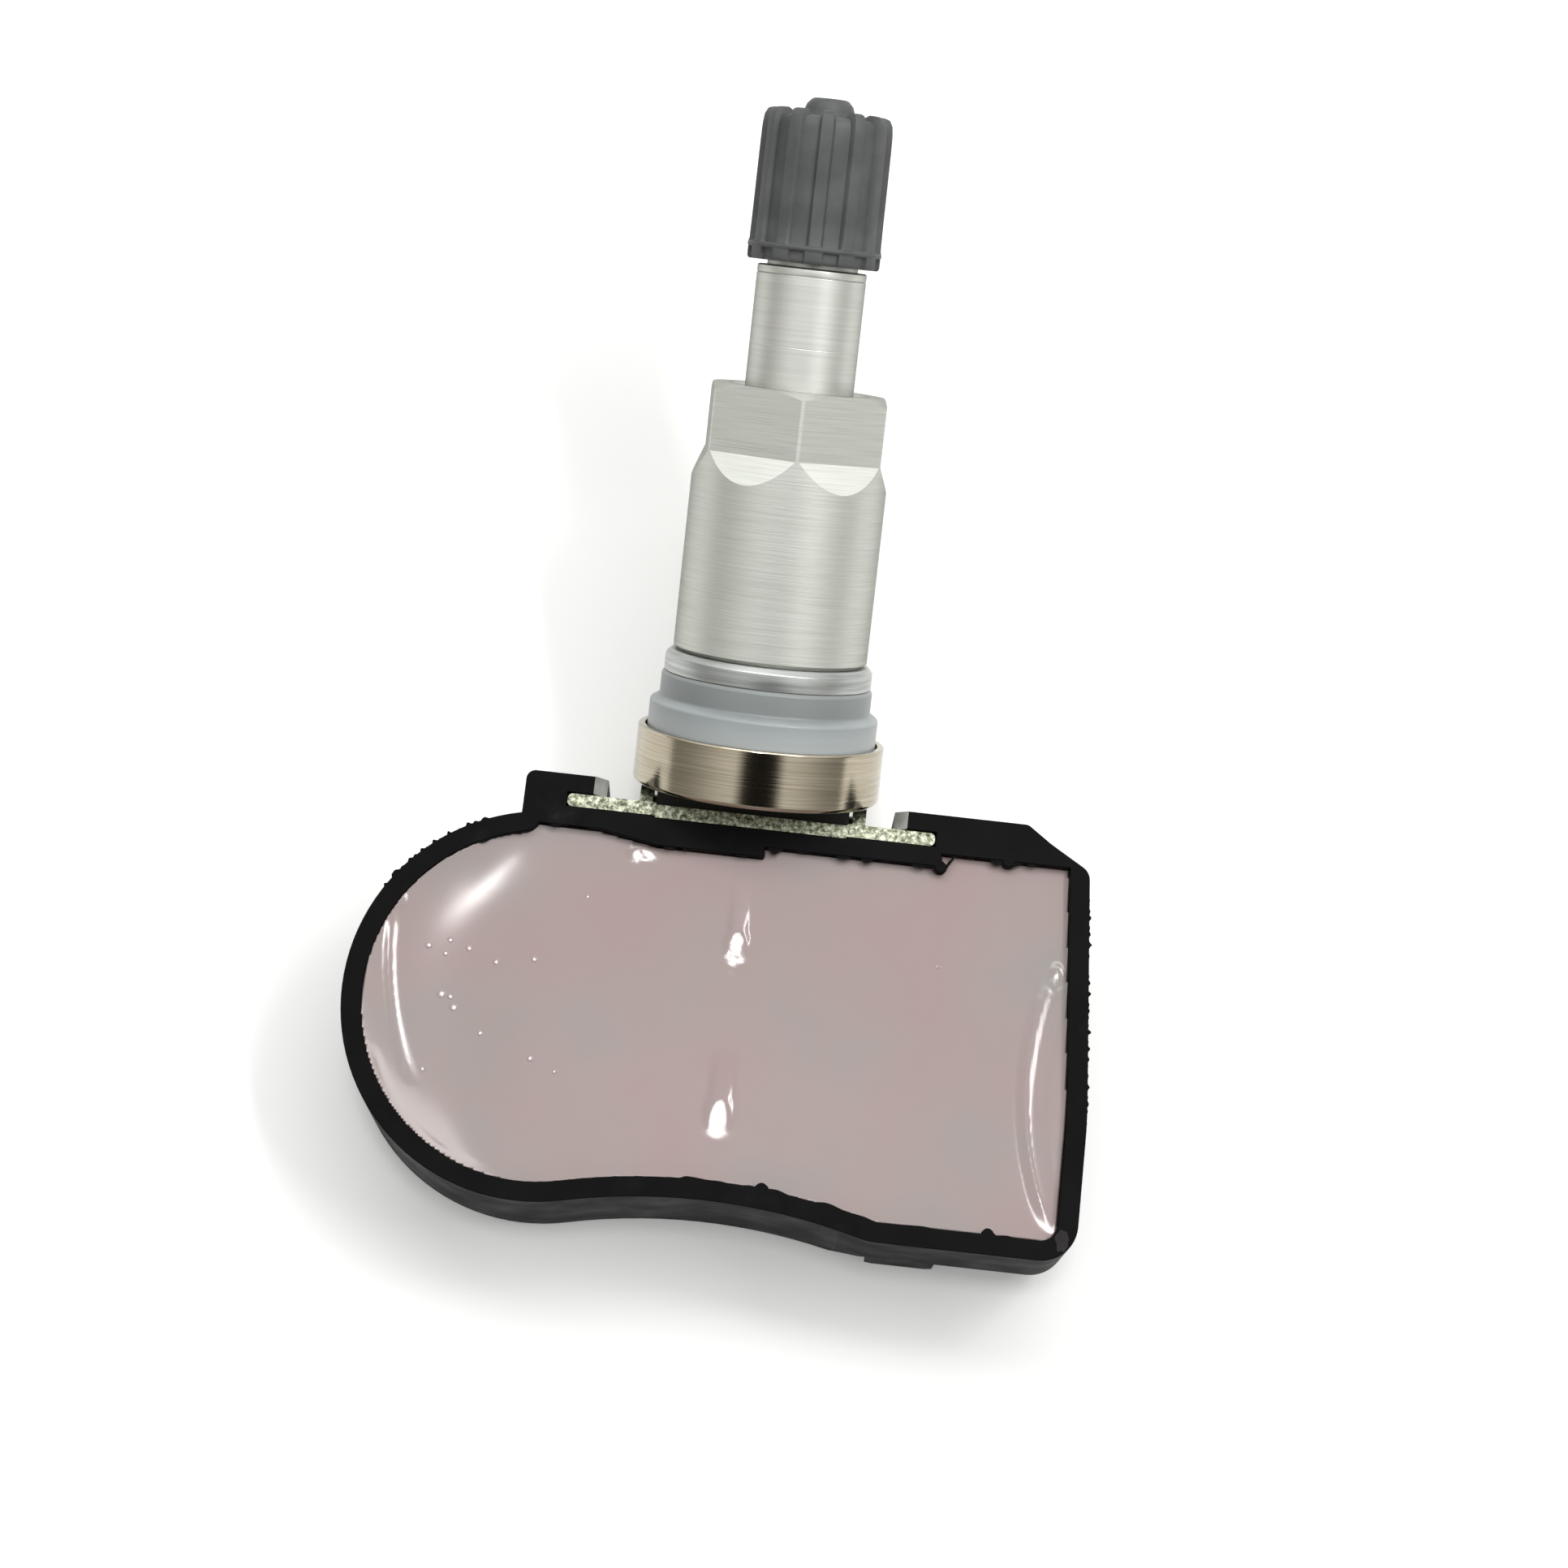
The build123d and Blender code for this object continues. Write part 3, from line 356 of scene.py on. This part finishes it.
def arcThrough(a, b, c):      # centre and radius of the circle through three points
    d = 2 * (a[0] * (b[1] - c[1]) + b[0] * (c[1] - a[1]) + c[0] * (a[1] - b[1]))
    squares = [p[0] ** 2 + p[1] ** 2 for p in (a, b, c)]
    x = (squares[0] * (b[1] - c[1]) + squares[1] * (c[1] - a[1]) + squares[2] * (a[1] - b[1])) / d
    y = (squares[0] * (c[0] - b[0]) + squares[1] * (a[0] - c[0]) + squares[2] * (b[0] - a[0])) / d
    return (x, y), hypot(a[0] - x, a[1] - y)


def resinDetail(x, y, wall):      # mm above the dish
    lowY, highY, lowX, highX = resin["level"]
    keep = max(0, min(1, max((highY - y) / (highY - lowY), (highX - x) / (highX - lowX))))
    rise = keep * resin["climb"][0] * exp(-wall / resin["climb"][1])
    for start, middle, end, height, width in resin["ridges"]:
        centre, radius = arcThrough(start, middle, end)
        off = hypot(x - centre[0], y - centre[1]) - radius
        if abs(x - middle[0]) > 7:      # the far side of the circle
            continue
        along = (y - end[1]) / (start[1] - end[1])
        fade = max(0, min(1, 8 * along, 8 * (1 - along)))
        rise += fade * height * max(0, 1 - abs(off) / width)
    for bumpX, bumpY, width, length, height, tiltX, tiltY, crumple, crest, fall in resin["bumps"]:
        far = max(0, y - bumpY - crest)      # past the crest a bump sinks slowly
        near = y - bumpY - far
        swell = max(0, 1 - far / fall) * exp(-(((x - bumpX) / width) ** 2 + (near / length) ** 2) ** 4)
        slope = tiltX * (x - bumpX) + tiltY * near
        rise += swell * (height + slope + crumple * noise.noise((x * 2.5, y * 2.5, 3)))
    return rise


def wallTree(faces):
    corners, polygons = [], []
    for face in faces:
        polygons.append(range(len(corners), len(corners) + len(face.verts)))
        corners.extend(v.co.copy() for v in face.verts)
    return BVHTree.FromPolygons(corners, [list(polygon) for polygon in polygons])


def makeResin():
    low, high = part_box("sealing_compound")
    bm = bmesh.new()
    bm.from_mesh(cadNodes["sealing_compound"].data)
    bmesh.ops.remove_doubles(bm, verts=bm.verts, dist=0.0005 * mm)
    bmesh.ops.dissolve_limit(bm, angle_limit=radians(0.5), verts=bm.verts, edges=bm.edges)
    sides = [f for f in bm.faces if abs(f.normal.z) < 0.5]
    walls = wallTree(sides)
    mainWalls = wallTree([f for f in sides if f.calc_area() > 0.3 * mm * (high.z - low.z)])      # without the small ribs
    for axis, normal in ((0, (1, 0, 0)), (1, (0, 1, 0))):      # cut the top into a grid
        place = low[axis] + resin["grid"] * mm
        while place < high[axis]:
            top = [f for f in bm.faces if f.normal.z > 0.5]
            geom = top + list({e for f in top for e in f.edges}) + list({v for f in top for v in f.verts})
            cut = (place, 0, 0) if axis == 0 else (0, place, 0)
            bmesh.ops.bisect_plane(bm, geom=geom, dist=0.0001 * mm, plane_co=cut, plane_no=normal)
            place += resin["grid"] * mm
    surface = [v for v in bm.verts if v.co.z > high.z - 0.01 * mm]
    wallGaps = [walls.find_nearest(v.co)[3] / mm for v in surface]
    dishHeight, dishReach, passes = resin["dish"]
    fadeFrom, fadeTo, rest = resin["dishFade"]
    for v in surface:
        share = max(0, 1 - mainWalls.find_nearest(v.co)[3] / mm / dishReach)
        fade = max(0, min(1, (v.co.x / mm - fadeFrom) / (fadeTo - fadeFrom)))
        sink = resin["sink"][0] * (1 - fade) + resin["sink"][1] * fade
        v.co.z += (dishHeight * share ** 2 * (1 - fade + rest * fade) - sink) * mm
    inner = [v for v, gap in zip(surface, wallGaps) if gap > 0.1]
    for step in range(passes):      # no creases where two walls are equally near
        bmesh.ops.smooth_vert(bm, verts=inner, factor=0.5, use_axis_z=True)
    for v, gap in zip(surface, wallGaps):
        v.co.z += resinDetail(v.co.x / mm, v.co.y / mm, gap) * mm
    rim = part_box("housing_shell")[1].z
    print("resin stays", round((rim - max(v.co.z for v in surface)) / mm, 2), "mm below the rim")
    spots = wallTree([f for f in bm.faces if f.normal.z > 0.5])
    spread, flat, tiltX, tiltY, lift = resin["bubbleShape"]
    for x, y, radius in resin["bubbles"]:      # flat domes that broke the surface
        level = spots.ray_cast((x * mm, y * mm, 1), (0, 0, -1))[0]
        dome = bmesh.ops.create_icosphere(bm, subdivisions=3, radius=radius * spread * mm)["verts"]
        for v in dome:
            v.co.z = flat * v.co.z + tiltX * v.co.x + tiltY * v.co.y + lift * mm
        bmesh.ops.translate(bm, vec=level, verts=dome)
    return finishPiece("sealingResin", bm, resinMaterial, "housing", ["sealing_compound"], 60)


makeResin()


# housing: the CAD shell with softened rim edges, rail tips painted pale grey as a painted highlight, and the burrs that
# moulding left

shell = {
    "rimRound": 0.16,                  # mm
    "burrs": [                         # centre of the sweep, from and to in degrees, outside, reach mm, teeth per mm
        ((0, 0), -26, 24, True, 0.22, 2.4),
        ((-14.1, -1.4), 112, 150, True, 0.22, 2.6),
        ((8, 0), 42, 128, False, 0.36, 1.1),
        ((-6.2, 5), 76, 99, False, 0.8, 1.3),
        ((-14.1, -1.4), 82, 128, False, 0.2, 0.9),
        ((8, 0), -128, -45, False, 0.16, 0.7),
    ],
    "burrStep": 0.14, "burrHeight": 0.45,
    "scuff": (26.2, -14.75, 0.5, 0.8),      # rubbed corner: x, y, half width, half length, mm
}


def makeShell():
    bm = bmesh.new()
    bm.from_mesh(cadNodes["housing_shell"].data)
    bmesh.ops.remove_doubles(bm, verts=bm.verts, dist=0.0005 * mm)
    bmesh.ops.dissolve_limit(bm, angle_limit=radians(0.5), verts=bm.verts, edges=bm.edges)
    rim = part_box("housing_shell")[1].z
    for face in bm.faces:
        if abs(face.normal.x) > 0.4 and face.normal.z > 0.4:      # sloped rail tips, painted pale grey: painted highlight where they face the light
            face.material_index = 1
    edges = [e for e in bm.edges if e.is_manifold and e.calc_face_angle() > radians(60)
             and all(v.co.z > rim - 0.001 * mm for v in e.verts)]
    bmesh.ops.bevel(bm, geom=edges, offset=shell["rimRound"] * mm, offset_type="OFFSET", segments=3, profile=0.5,
                    affect="EDGES", material=-1, clamp_overlap=True)
    piece = finishPiece("housingShell", bm, shellMaterial, "housing", ["housing_shell"])
    piece.data.materials.append(railTipSheenMaterial)
    return piece


def makeBurrs():
    source = bmesh.new()
    source.from_mesh(cadNodes["housing_shell"].data)
    walls = wallTree(source.faces)
    source.free()
    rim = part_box("housing_shell")[1].z
    bm = bmesh.new()
    for number, (centre, start, end, outside, reach, teeth) in enumerate(shell["burrs"]):
        middle = Vector((centre[0] * mm, centre[1] * mm, rim - 0.3 * mm))
        count = round(radians(end - start) * 26 / shell["burrStep"])
        rings, along, last = [], 0, None
        for i in range(count + 1):
            angle = radians(start + (end - start) * i / count)
            way = Vector((cos(angle), sin(angle), 0))
            hit = walls.ray_cast(middle + 0.1 * way, -way) if outside else walls.ray_cast(middle, way)
            place, out = hit[0], hit[1] * (1 if hit[1].dot(way if outside else -way) > 0 else -1)
            along += (place - last).length / mm if last else 0
            last = place
            rough = noise.noise((along * teeth, number * 7.3, 0))
            spike = reach * mm * max(0, rough) * 1.8 * min(1, i / 4, (count - i) / 4)
            low = rim - shell["burrHeight"] * mm
            rings.append([bm.verts.new((*(place + out * far).xy, height)) for far, height in (
                (-0.2 * mm, rim - 0.06 * mm), (spike, rim - 0.1 * mm), (spike * 0.6, low), (-0.2 * mm, low))])
        for one, two in zip(rings, rings[1:]):
            for k in range(4):
                bm.faces.new((one[k], one[(k + 1) % 4], two[(k + 1) % 4], two[k]))
        bm.faces.new(rings[0])
        bm.faces.new(rings[-1])
    for v in bm.verts:
        v.co.x = min(v.co.x, cadBox[1][0])      # no burr reaches past the CAD model's box on the +x side
    x, y, width, length = shell["scuff"]
    before = set(bm.faces)
    for v in bmesh.ops.create_icosphere(bm, subdivisions=4, radius=1)["verts"]:
        swell = 1 + 0.4 * noise.noise((v.co.x * 1.7, v.co.y * 1.7, x))
        v.co = ((x + width * swell * v.co.x) * mm, (y + length * swell * v.co.y) * mm, rim + 0.03 * v.co.z * mm)
    for face in set(bm.faces) - before:
        face.material_index = 1
    piece = finishPiece("rimBurrs", bm, shellMaterial, "housing")
    piece.data.materials.append(rubbedMaterial)
    return piece


makeShell()
makeBurrs()


# valve: collar, grommet, washer, nut, stem and cap, with heights in mm up the stem

collar = {
    "profile": [(0, 0), (9.2, 0), (9.48, 0.28), (9.48, 4.37), (9.38, 4.47), (8.95, 4.47), (8.95, 3.57), (4.52, 3.57),
                (4.52, 1.4), (0, 1.4)],
    "rounding": 0.1, "steps": 180,
    "tongue": (14.8, 1.6, 2.2),        # length across, radius at the pin, drop to the pin
}


def makeCollar():
    bm = turnProfile(collar["profile"], collar["steps"], collar["rounding"])
    length, radius, drop = (value * mm for value in collar["tongue"])
    turnedFaces = set(bm.faces)
    block = bmesh.ops.create_cube(bm, size=1)["verts"]
    bmesh.ops.scale(bm, vec=(length, 2 * radius, drop), verts=block)
    bmesh.ops.translate(bm, vec=(0, 0, -drop / 2), verts=block)
    turned = Matrix.Translation((0, 0, -drop)) @ Matrix.Rotation(pi / 2, 4, "Y")
    bmesh.ops.create_cone(bm, cap_ends=True, segments=48, radius1=radius, radius2=radius, depth=length, matrix=turned)
    for face in set(bm.faces) - turnedFaces:
        face.material_index = 1
    piece = finishPiece("valveCollar", layAlongStem(bm), nickelMaterial, "valve", ["valve_base"])
    piece.data.materials.append(tongueShadeMaterial)      # the tongue is painted near black: painted shade for the shadowed gap under the collar
    return piece


grommet = {
    "profile": [(5.01, 3.59), (8.58, 3.59), (8.78, 3.79), (8.78, 6.35), (8.7, 6.5), (8.18, 6.82), (8.1, 6.95),
                (8.1, 8.5), (7.9, 8.75), (5.01, 8.75)],
    "rounding": 0.1, "steps": 180,
}


def makeGrommet():
    bm = turnProfile(grommet["profile"], grommet["steps"], grommet["rounding"], 15)
    return finishPiece("sealGrommet", layAlongStem(bm), siliconeMaterial, "valve", ["grommet"], 40)


washer = {
    "profile": [(5.1, 8.77), (7.9, 8.77), (7.95, 8.82), (7.95, 10.03), (7.55, 10.43), (5.1, 10.43)],
    "rounding": 0.06, "steps": 180,
}


def makeWasher():
    bm = turnProfile(washer["profile"], washer["steps"], washer["rounding"])
    return finishPiece("clampWasher", layAlongStem(bm), washerMaterial, "washer", ["clamp_washer"])


sleeveNut = {
    "profile": [(5.1, 10.45), (7.13, 10.45), (7.43, 10.75), (7.43, 30.36), (6.5, 30.9), (5.35, 30.9), (5.1, 30.65)],
    "steps": 240,
    "acrossFlats": 13.0, "flatFrom": 25.85, "runout": 2.15,
    "turn": 3.8,                       # degrees from a corner that faces straight up
    "edge": 0.06, "nick": 0.06,        # softened corners and the nicks in them, mm
    "toolLines": [(26.35, -3.3, 2.6), (26.55, -3.0, 1.2), (26.85, -3.4, 2.9)],      # height, from, to along a flat
}


def makeNut():
    bm = turnProfile(sleeveNut["profile"], sleeveNut["steps"])
    mesh = bpy.data.meshes.new("nutBlank")
    bm.to_mesh(mesh)
    bm.free()
    blank = bpy.data.objects.new("nutBlank", mesh)
    bpy.context.scene.collection.objects.link(blank)
    flat = sleeveNut["acrossFlats"] / 2
    outside = 2 * flat
    slope = sleeveNut["runout"] / (sleeveNut["profile"][2][0] - flat)
    top = 40
    cutters = []
    for corner in range(6):
        tool = bmesh.new()
        section = [(flat, sleeveNut["flatFrom"]), (flat, top), (outside, top),
                   (outside, sleeveNut["flatFrom"] - slope * (outside - flat))]
        face = tool.faces.new([tool.verts.new((x * mm, -flat * mm, z * mm)) for x, z in section])
        ends = bmesh.ops.extrude_face_region(tool, geom=[face])["geom"]
        bmesh.ops.translate(tool, vec=(0, 2 * flat * mm, 0), verts=[v for v in ends if isinstance(v, bmesh.types.BMVert)])
        bmesh.ops.recalc_face_normals(tool, faces=tool.faces)
        angle = radians(corner * 60 - 60 + sleeveNut["turn"])
        bmesh.ops.rotate(tool, cent=(0, 0, 0), matrix=Matrix.Rotation(angle, 3, "Z"), verts=tool.verts)
        toolMesh = bpy.data.meshes.new("flatTool")
        tool.to_mesh(toolMesh)
        tool.free()
        cutter = bpy.data.objects.new("flatTool", toolMesh)
        bpy.context.scene.collection.objects.link(cutter)
        cut = blank.modifiers.new("flat", "BOOLEAN")
        cut.object = cutter
        cut.operation = "DIFFERENCE"
        cut.solver = "EXACT"
        cutters.append(cutter)
    bpy.context.view_layer.update()
    milled = bpy.data.meshes.new_from_object(blank.evaluated_get(bpy.context.evaluated_depsgraph_get()))
    for unwanted in cutters + [blank]:
        bpy.data.objects.remove(unwanted)
    bm = bmesh.new()
    bm.from_mesh(milled)
    bpy.data.meshes.remove(milled)
    bmesh.ops.remove_doubles(bm, verts=bm.verts, dist=0.002 * mm)
    corners = [e for e in bm.edges if e.is_manifold and e.calc_face_angle() > radians(40)
               and abs(e.verts[0].co.z - e.verts[1].co.z) > 3 * mm]
    chips = random.Random(5)
    cuts = bmesh.ops.subdivide_edges(bm, edges=corners, cuts=16)
    for v in [v for v in cuts["geom_inner"] if isinstance(v, bmesh.types.BMVert)]:
        v.co.xy *= 1 - sleeveNut["nick"] * mm * chips.random() ** 3 / v.co.xy.length
    edges = [e for e in cuts["geom_split"] if isinstance(e, bmesh.types.BMEdge)]
    bmesh.ops.bevel(bm, geom=edges, offset=sleeveNut["edge"] * mm, offset_type="OFFSET", segments=2, profile=0.5,
                    affect="EDGES", material=-1, clamp_overlap=True)
    lineTurn = Matrix.Rotation(radians(240 + sleeveNut["turn"]), 3, "Z")
    for height, start, end in sleeveNut["toolLines"]:      # fine ridges that the milling cutter left on one flat
        line = bmesh.ops.create_cube(bm, size=1)["verts"]
        bmesh.ops.scale(bm, vec=(0.08 * mm, (end - start) * mm, 0.05 * mm), verts=line)
        bmesh.ops.translate(bm, vec=(flat * mm, (start + end) / 2 * mm, height * mm), verts=line)
        bmesh.ops.rotate(bm, cent=(0, 0, 0), matrix=lineTurn, verts=line)
    return finishPiece("sleeveNut", layAlongStem(bm), nutMaterial, "nut", ["hex_nut"], 12)


stem = {
    "profile": [(1.5, 1.4), (4.5, 1.4), (4.5, 3.57), (5.0, 3.57), (5.0, 8.9), (4.6, 9.2), (4.6, 20.9), (4.13, 21.5),
                (4.13, 34.0), (4.115, 34.03), (4.13, 34.06), (4.13, 39.3), (4.06, 39.36), (4.13, 39.42),
                (4.13, 39.88), (4.03, 39.98), (3.42, 40.0),
                (3.42, 49.5), (3.05, 49.94), (2.65, 49.94), (2.65, 44.44), (2.1, 43.44), (2.1, 35.94), (1.5, 35.94)],
    "steps": 160, "rounding": 0.05,
    "clampThread": (5.0, 4.6, 0.75, 9.2, 20.9),        # crest, root, pitch, from, to
    "capThread": (3.85, 3.42, 0.794, 40.2, 49.6),
}


def makeStem():
    bm = turnProfile(stem["profile"], stem["steps"], stem["rounding"])
    addThread(bm, *stem["clampThread"])
    addThread(bm, *stem["capThread"])
    return finishPiece("valveStem", layAlongStem(bm), neckMaterial, "valve", ["valve_stem"])


dustCap = {
    "ribs": 12, "perRib": 24,
    "ribHalf": 0.55, "ribRound": 0.16,  # half width of a rib and its softened flank, mm
    "ribOut": 0.36, "ribUp": 0.45,     # how far a rib stands out of the wall and over the roof
    "blockHalf": 0.68, "pocketDeep": 0.24, "pocketTop": 41.13,
    "profile": [(3.95, 40.29), (4.85, 40.29), (4.98, 40.42), (5.0, 40.6), (5.0, 41.12), (5.0, 41.24), (5.05, 41.3),
                (5.05, 41.5), (5.0, 41.57), (4.66, 41.6), (4.6, 41.75), (4.58, 43.5), (4.57, 45.5), (4.56, 47.5),
                (4.55, 49.0), (4.54, 49.8), (4.52, 50.3), (4.44, 50.7), (4.26, 51.0), (3.95, 51.13), (3.6, 51.15),
                (3.2, 51.15), (2.6, 51.15), (2.05, 51.17), (1.94, 51.25), (1.88, 51.7), (1.74, 52.1), (1.4, 52.47),
                (1.2, 52.55), (0.5, 52.55), (0, 52.55), (0, 50.53), (3.95, 50.53)],
}


def makeCap():
    bm = bmesh.new()
    points = [Vector((radius * mm, 0, height * mm)) for radius, height in dustCap["profile"]]
    verts = [bm.verts.new(point) for point in points]
    edges = [bm.edges.new((verts[i], verts[(i + 1) % len(verts)])) for i in range(len(verts)) if points[i].x or points[(i + 1) % len(verts)].x]
    steps = dustCap["ribs"] * dustCap["perRib"]
    bmesh.ops.spin(bm, geom=verts + edges, cent=(0, 0, 0), axis=(0, 0, 1), angle=tau, steps=steps, use_merge=True)
    bmesh.ops.remove_doubles(bm, verts=bm.verts, dist=0.0005 * mm)
    bmesh.ops.recalc_face_normals(bm, faces=bm.faces)

    def fromRib(co):      # mm along the wall to the middle of the nearest rib
        pitch = tau / dustCap["ribs"]
        angle = atan2(co.y, co.x) + pi / 2
        return abs((angle + pitch / 2) % pitch - pitch / 2) * 4.9

    for v in bm.verts:
        if v.co.z < dustCap["pocketTop"] * mm and v.co.xy.length > 4.7 * mm and fromRib(v.co) > dustCap["blockHalf"]:
            v.co.xy *= 1 - dustCap["pocketDeep"] * mm / v.co.xy.length
    for v in bm.verts:
        radius = hypot(v.co.x, v.co.y)
        if v.co.z < 41.59 * mm or radius < 2.5 * mm or (radius < 4 * mm and v.co.z < 50.6 * mm):
            continue
        flank = (fromRib(v.co) - dustCap["ribHalf"]) / dustCap["ribRound"] + 0.5
        rib = 1 - max(0, min(1, flank)) ** 2 * (3 - 2 * max(0, min(1, flank)))
        over = max(0, min(1, (v.co.z / mm - 50.2) / 0.7)) * max(0, min(1, (radius / mm - 2.9) / 0.6))
        out = dustCap["ribOut"] * mm * rib * max(0, min(1, (radius / mm - 3.4) / 1.0))
        v.co.x *= 1 + out / radius
        v.co.y *= 1 + out / radius
        v.co.z += dustCap["ribUp"] * mm * rib * over
    return finishPiece("dustCap", layAlongStem(bm), capMaterial, "cap", ["dust_cap"], 50)


makeCollar()
makeGrommet()
makeWasher()
makeNut()
makeStem()
makeCap()


# stage, light and camera

stage = {
    "floorSize": 1.6, "floorDrop": 0.1,        # m, mm under the part
    "floorColour": "#f1f1ef", "floorGlow": 0.23,
    "dome": 0.55, "seenDome": 1.45,    # level of the dome for soft light and where it is seen
    "brightPlace": (0.04, 0.4, 0.91),  # the dome is brightest overhead and behind
    "domeTones": [(0.0, "#888884"), (0.2, "#9a9996"), (0.33, "#b8b7b4"), (0.6, "#ebebe9"), (0.8, "#ffffff")],
    "darkPlace": (0.06, -0.6, 0.8),    # a dim patch overhead, on the near side
    "darkEdge": [(0.92, "#ffffff"), (0.965, "#0e0c0a")],
}


def makeStage():
    bm = bmesh.new()
    bmesh.ops.create_grid(bm, x_segments=8, y_segments=8, size=stage["floorSize"] / 2)
    bmesh.ops.translate(bm, vec=(0, 0, -stage["floorDrop"] * mm), verts=bm.verts)
    mesh = bpy.data.meshes.new("paleFloor")
    bm.to_mesh(mesh)
    bm.free()
    material = bpy.data.materials.new("palePaper")      # white paper, lifted to white where it is looked at
    material.use_nodes = True
    tree = material.node_tree
    tree.nodes.clear()
    paths = addNode(tree, "ShaderNodeLightPath")
    seen = addNode(tree, "ShaderNodeMath", {0: paths.outputs["Is Camera Ray"], 1: paths.outputs["Is Glossy Ray"]}, operation="ADD")
    seen = addNode(tree, "ShaderNodeMath", {0: seen.outputs[0], 1: paths.outputs["Is Transmission Ray"]}, operation="ADD", use_clamp=True)
    glowLevel = addNode(tree, "ShaderNodeMath", {0: seen.outputs[0], 1: stage["floorGlow"]}, operation="MULTIPLY")
    paper = addNode(tree, "ShaderNodeBsdfDiffuse", {"Color": hexColour(stage["floorColour"])})
    glow = addNode(tree, "ShaderNodeEmission", {"Strength": glowLevel.outputs[0]})
    both = addNode(tree, "ShaderNodeAddShader", {0: paper.outputs[0], 1: glow.outputs[0]})
    addNode(tree, "ShaderNodeOutputMaterial", {"Surface": both.outputs[0]})
    mesh.materials.append(material)
    floor = bpy.data.objects.new("paleFloor", mesh)
    bpy.context.scene.collection.objects.link(floor)


def makeWorld():
    world = bpy.data.worlds.new("studio")
    bpy.context.scene.world = world
    world.use_nodes = True
    tree = world.node_tree
    tree.nodes.clear()
    paths = addNode(tree, "ShaderNodeLightPath")
    seen = addNode(tree, "ShaderNodeMath", {0: paths.outputs["Is Camera Ray"], 1: paths.outputs["Is Glossy Ray"]}, operation="ADD")
    seen = addNode(tree, "ShaderNodeMath", {0: seen.outputs[0], 1: paths.outputs["Is Transmission Ray"]}, operation="ADD", use_clamp=True)
    level = addNode(tree, "ShaderNodeMapRange", {"Value": seen.outputs[0], 3: stage["dome"], 4: stage["seenDome"]})
    way = addNode(tree, "ShaderNodeTexCoord").outputs["Generated"]
    toBright = Vector(stage["brightPlace"]).normalized()
    aim = addNode(tree, "ShaderNodeVectorMath", {0: way, 1: toBright}, operation="DOT_PRODUCT")
    dome = addNode(tree, "ShaderNodeValToRGB", {"Fac": aim.outputs["Value"]}, stops=stage["domeTones"])
    toDark = Vector(stage["darkPlace"]).normalized()
    near = addNode(tree, "ShaderNodeVectorMath", {0: way, 1: toDark}, operation="DOT_PRODUCT")
    shade = addNode(tree, "ShaderNodeValToRGB", {"Fac": near.outputs["Value"]}, stops=stage["darkEdge"])
    tone = addNode(tree, "ShaderNodeVectorMath", {0: dome.outputs["Color"], 1: shade.outputs["Color"]}, operation="MULTIPLY")
    sky = addNode(tree, "ShaderNodeBackground", {"Color": tone.outputs[0], "Strength": level.outputs[0]})
    addNode(tree, "ShaderNodeOutputWorld", {"Surface": sky.outputs[0]})


lamps = {      # place in m, size in m, power in W
    "backSoftbox": ((0.05, 0.39, 0.69), (0.95, 0.22), 3.1),
    "windowStrip": ((0.3, 0.125, 0.52), (0.28, 0.046), 0.97),
    "ceilingLamp": ((-0.005, 0.015, 0.64), (0.07, 0.07), 0.54),
}


def makeLamps():
    for name, (place, size, power) in lamps.items():
        data = bpy.data.lights.new(name, "AREA")
        data.shape = "RECTANGLE"
        data.size, data.size_y = size
        data.energy = power
        lamp = bpy.data.objects.new(name, data)
        lamp.location = place
        lamp.rotation_euler = (Vector((0, 0.015, 0.008)) - Vector(place)).to_track_quat("-Z", "Y").to_euler()
        bpy.context.scene.collection.objects.link(lamp)


view = {
    "place": (2.16, -49.96, 264.27),   # mm
    "rise": 75, "roll": 6.35,          # degrees
    "focal": 4230, "pixels": 1932,     # focal length in the photo's pixels
}


def makeCamera():
    data = bpy.data.cameras.new("photoCamera")
    data.sensor_width = 36
    data.lens = 36 * view["focal"] / view["pixels"]
    data.clip_start = 0.01
    rise, roll = radians(view["rise"]), radians(view["roll"])
    level, upward = Vector((1, 0, 0)), Vector((0, sin(rise), cos(rise)))
    right = cos(roll) * level + sin(roll) * upward
    up = cos(roll) * upward - sin(roll) * level
    turn = Matrix((right, up, right.cross(up))).transposed().to_4x4()
    camera = bpy.data.objects.new("photoCamera", data)
    camera.matrix_world = Matrix.Translation(Vector(view["place"]) * mm) @ turn
    bpy.context.scene.collection.objects.link(camera)
    bpy.context.scene.camera = camera


makeStage()
makeWorld()
makeLamps()
makeCamera()
bpy.context.scene.view_settings.view_transform = "Standard"
print("stage, light and camera set")
